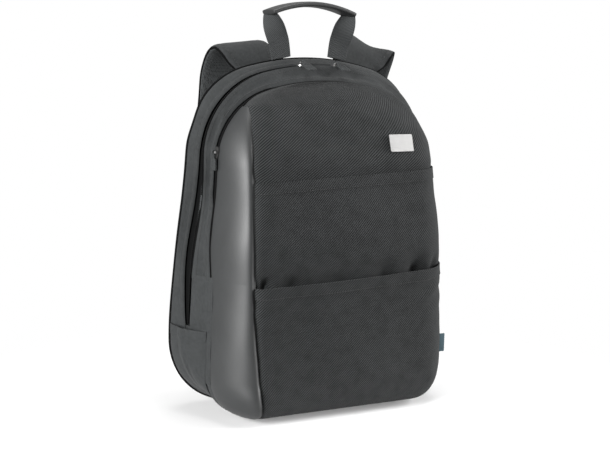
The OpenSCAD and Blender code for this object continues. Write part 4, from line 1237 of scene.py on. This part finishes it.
def lock_webbing(side):
    _, end, pull = strap_route(side)
    lie = unit(np.array([pull[2], 0, -pull[0]]))
    through = np.cross(pull, lie)
    foot = end - pull * DROP
    low = STRAP_LOW * (side, 1, 1)

    def half_turn(bar, way):
        return [[CLEAR * math.sin(a), bar + CLEAR * math.cos(a)] for a in np.linspace(-QUARTER, way * QUARTER, 9)]

    def laid(name, start, path, count, cap):
        points = start + [foot + through * p + pull * q for p, q in path]
        route = dense_ends(curve([[*p, WEB_W, WEB_T] for p in points], count), cap)
        piece = swept(name + WORDS[side] + "_cloth", route, lie, rounded(9, 28), webbing, 40, cap)
        dress(piece, name + WORDS[side], "webbing", "strap_" + WORDS[side])
        print(piece.name, len(piece.data.polygons), "faces")

    laid("strap_webbing_", [low, low + pull * 6],
         [[-CLEAR, -16], [-CLEAR, -4], *half_turn(MIDDLE_BAR, 1), [CLEAR, -4], [CLEAR + 1, -14],
          [CLEAR + 2.5, -TAIL]], 140, 0.6)
    laid("lock_loop_", [], [[-CLEAR, DROP - 0.3], *half_turn(TOP_BAR, -3), [CLEAR, DROP - 0.3]], 50, 0.4)


for side in (-1, 1):
    lock_webbing(side)

# %% [markdown]
# ## Yoke and wings
# The straps are sewn to a padded yoke across the back, and their webbing to two stiff cloth wings in
# the lower corners. Each solid's own outline is reused: it is bevelled and smoothed until it reads
# as folded cloth. The sleeve's closing strap is made in the same way.

# %% Yoke and wings
def cloth_from(node, finish, soften, slot, body):
    only(nodes[node])
    bpy.ops.object.duplicate()
    obj = bpy.context.object
    obj.name = node + "_cloth"
    obj.data = obj.data.copy()
    obj.parent = None
    obj.matrix_world = Matrix.Identity(4)
    coat(obj, finish)
    bpy.ops.object.mode_set(mode="EDIT")
    bpy.ops.mesh.select_all(action="SELECT")
    bpy.ops.mesh.remove_doubles(threshold=0.00001)
    bpy.ops.mesh.dissolve_limited(angle_limit=math.radians(2))
    if not obj.data.uv_layers:
        bpy.ops.mesh.uv_texture_add()
    bpy.ops.object.mode_set(mode="OBJECT")
    apply(obj, "BEVEL", width=soften, segments=4, limit_method="ANGLE", angle_limit=math.radians(30))
    only(obj)
    bpy.ops.object.mode_set(mode="EDIT")
    bpy.ops.mesh.select_all(action="SELECT")
    bpy.ops.uv.cube_project(cube_size=1.0, scale_to_bounds=False)
    bpy.ops.object.mode_set(mode="OBJECT")
    bpy.ops.object.shade_smooth_by_angle(angle=math.radians(50))
    dress(obj, node, slot, body)
    print(obj.name, len(obj.data.polygons), "faces")


cloth_from("strap_yoke", plain_cloth, 0.0022, "shell", "pack")
cloth_from("strap_wing_left", plain_cloth, 0.0012, "shell", "pack")
cloth_from("strap_wing_right", plain_cloth, 0.0012, "shell", "pack")
cloth_from("sleeve_strap", webbing, 0.0004, "lining", "pack")


# %% [markdown]
# ## Back pads
# The pads are foam under mesh. Each starts a little small, as a crowned block; cloth with air
# pressure inside then swells it, so that the face is full and the edges pull in. The swelling is
# kept within 4 mm, and off the back.

# %% Back pads
PAD_CELL, PAD_SEAT, PAD_EDGE, PAD_CROWN, PAD_ROLL = 4, 5.2, 1.2, 6.2, 20
PAD_WALL, SWELL_STEPS, SWELL_LIMIT, PAD_CLEAR = 0.0045, 16, 0.004, 0.0048


def points_of(obj):
    return np.array([v.co for v in obj.data.vertices])


def swell(obj):
    start = points_of(obj)
    only(obj)
    cloth = obj.modifiers.new("swell", "CLOTH")
    cloth.settings.use_pressure = True
    cloth.settings.uniform_pressure_force = 3.0
    cloth.settings.quality = 4
    cloth.settings.effector_weights.gravity = 0
    for step in range(1, SWELL_STEPS + 1):
        bpy.context.scene.frame_set(step)
    bpy.ops.object.modifier_apply(modifier=cloth.name)
    moved = points_of(obj) - start
    far = np.linalg.norm(moved, axis=1, keepdims=True)
    ends = start + moved * np.minimum(1, SWELL_LIMIT / np.maximum(far, 1e-9))
    ends[:, 1] = np.maximum(ends[:, 1], BACK.depth(ends[:, 2] / MM) * MM + PAD_CLEAR)
    obj.data.vertices.foreach_set("co", ends.ravel())
    bpy.context.scene.frame_set(1)


def back_pad(node, x0, x1, z0, z1):
    gx, gz = np.meshgrid(np.linspace(x0, x1, round((x1 - x0) / PAD_CELL) + 1),
                         np.linspace(z0, z1, round((z1 - z0) / PAD_CELL) + 1))
    gap = np.minimum(np.minimum(gx - x0, x1 - gx), np.minimum(gz - z0, z1 - gz))
    rise = PAD_EDGE + PAD_CROWN * np.sqrt(1 - (1 - np.clip(gap / PAD_ROLL, 0, 1)) ** ROLL_POWER)
    pad = panel(node + "_cloth", row_at(gx, BACK.depth(gz) + PAD_SEAT + rise, gz)[:, ::-1], mesh_cloth, 0)
    apply(pad, "SOLIDIFY", thickness=PAD_WALL, offset=-1.0)
    swell(pad)
    apply(pad, "SUBSURF", levels=1, render_levels=1)
    only(pad)
    bpy.ops.object.shade_smooth()
    dress(pad, node, "mesh", "pack")
    return pad


pads = [back_pad("back_pad_left", -110, -18, 120, 320), back_pad("back_pad_right", 18, 110, 120, 320),
        back_pad("lumbar_pad", -94, 94, 36, 106)]
print("pads:", [len(p.data.polygons) for p in pads])

# %% [markdown]
# ## Carry loop
# Two webbing legs rise from the top seam, turning edge-on as they reach the grip. The grip is a
# strip of leather wrapped over them, full and slightly arched.

# %% Carry loop
LOOP_Y, LOOP_Z, LOOP_RISE = 45.0, 401.76, 50.5
FOOT_X, LOOP_HALF = 37.0, 52.0
LEG_W, LEG_T, LEG_LAP = 25, 2.2, 3.0
LEG_ROUTE = [(0, 0.02, 0), (0.2, 0.35, 8), (0.45, 0.55, 22), (0.68, 0.72, 42), (0.88, 0.88, 66), (1, 1, 84)]
GRIP_HALF, GRIP_W, GRIP_T, GRIP_LIFT, GRIP_ARCH = 55, 30.0, 6.4, 2.7, 11.0


def loop_leg(side):
    rows = []
    for out, up, degrees in LEG_ROUTE:
        turned = math.radians(degrees)
        rows.append([side * (FOOT_X + (LOOP_HALF - FOOT_X) * out), LOOP_Y, LOOP_Z + (LOOP_RISE + LEG_LAP) * up,
                     LEG_W, LEG_T, math.cos(turned), -math.sin(turned), 0])
    route = curve(rows, 60)
    return swept("loop_leg", route[:, :5], route[:, 5:8], rounded(8, 28), webbing, 40, 0.8)


legs = join(loop_leg(-1), loop_leg(1))
legs.name = "carry_loop_legs"
dress(legs, "handle_webbing", "webbing", "carry_loop")

u = np.linspace(-1, 1, 60)
rows = np.stack(np.broadcast_arrays(GRIP_HALF * u, LOOP_Y, LOOP_Z + LOOP_RISE + GRIP_LIFT + GRIP_ARCH * (1 - u ** 2),
                                    GRIP_W, GRIP_T), -1)
grip = swept("carry_grip", dense_ends(rows, 1.2), (0, 1, 0), rounded(3.4, 40), grip_leather, 60, 1.2)
dress(grip, "handle_grip", "leather", "carry_loop")
print("carry loop:", len(legs.data.polygons), len(grip.data.polygons), "faces")

# %% [markdown]
# ## Pulls and tab
# Each slider has a fabric pull: a narrow loop through the bail that widens into a flat tab with a
# raised rib. The side seam holds a small folded tab, left plain.

# %% Pulls
for word in ("main_pull_left", "main_pull_right", "front_pull"):
    cloth_from(word, webbing, 0.0003, "pull", word + "_body")
cloth_from("side_tab", tab_cloth, 0.0005, "tab", "pack")
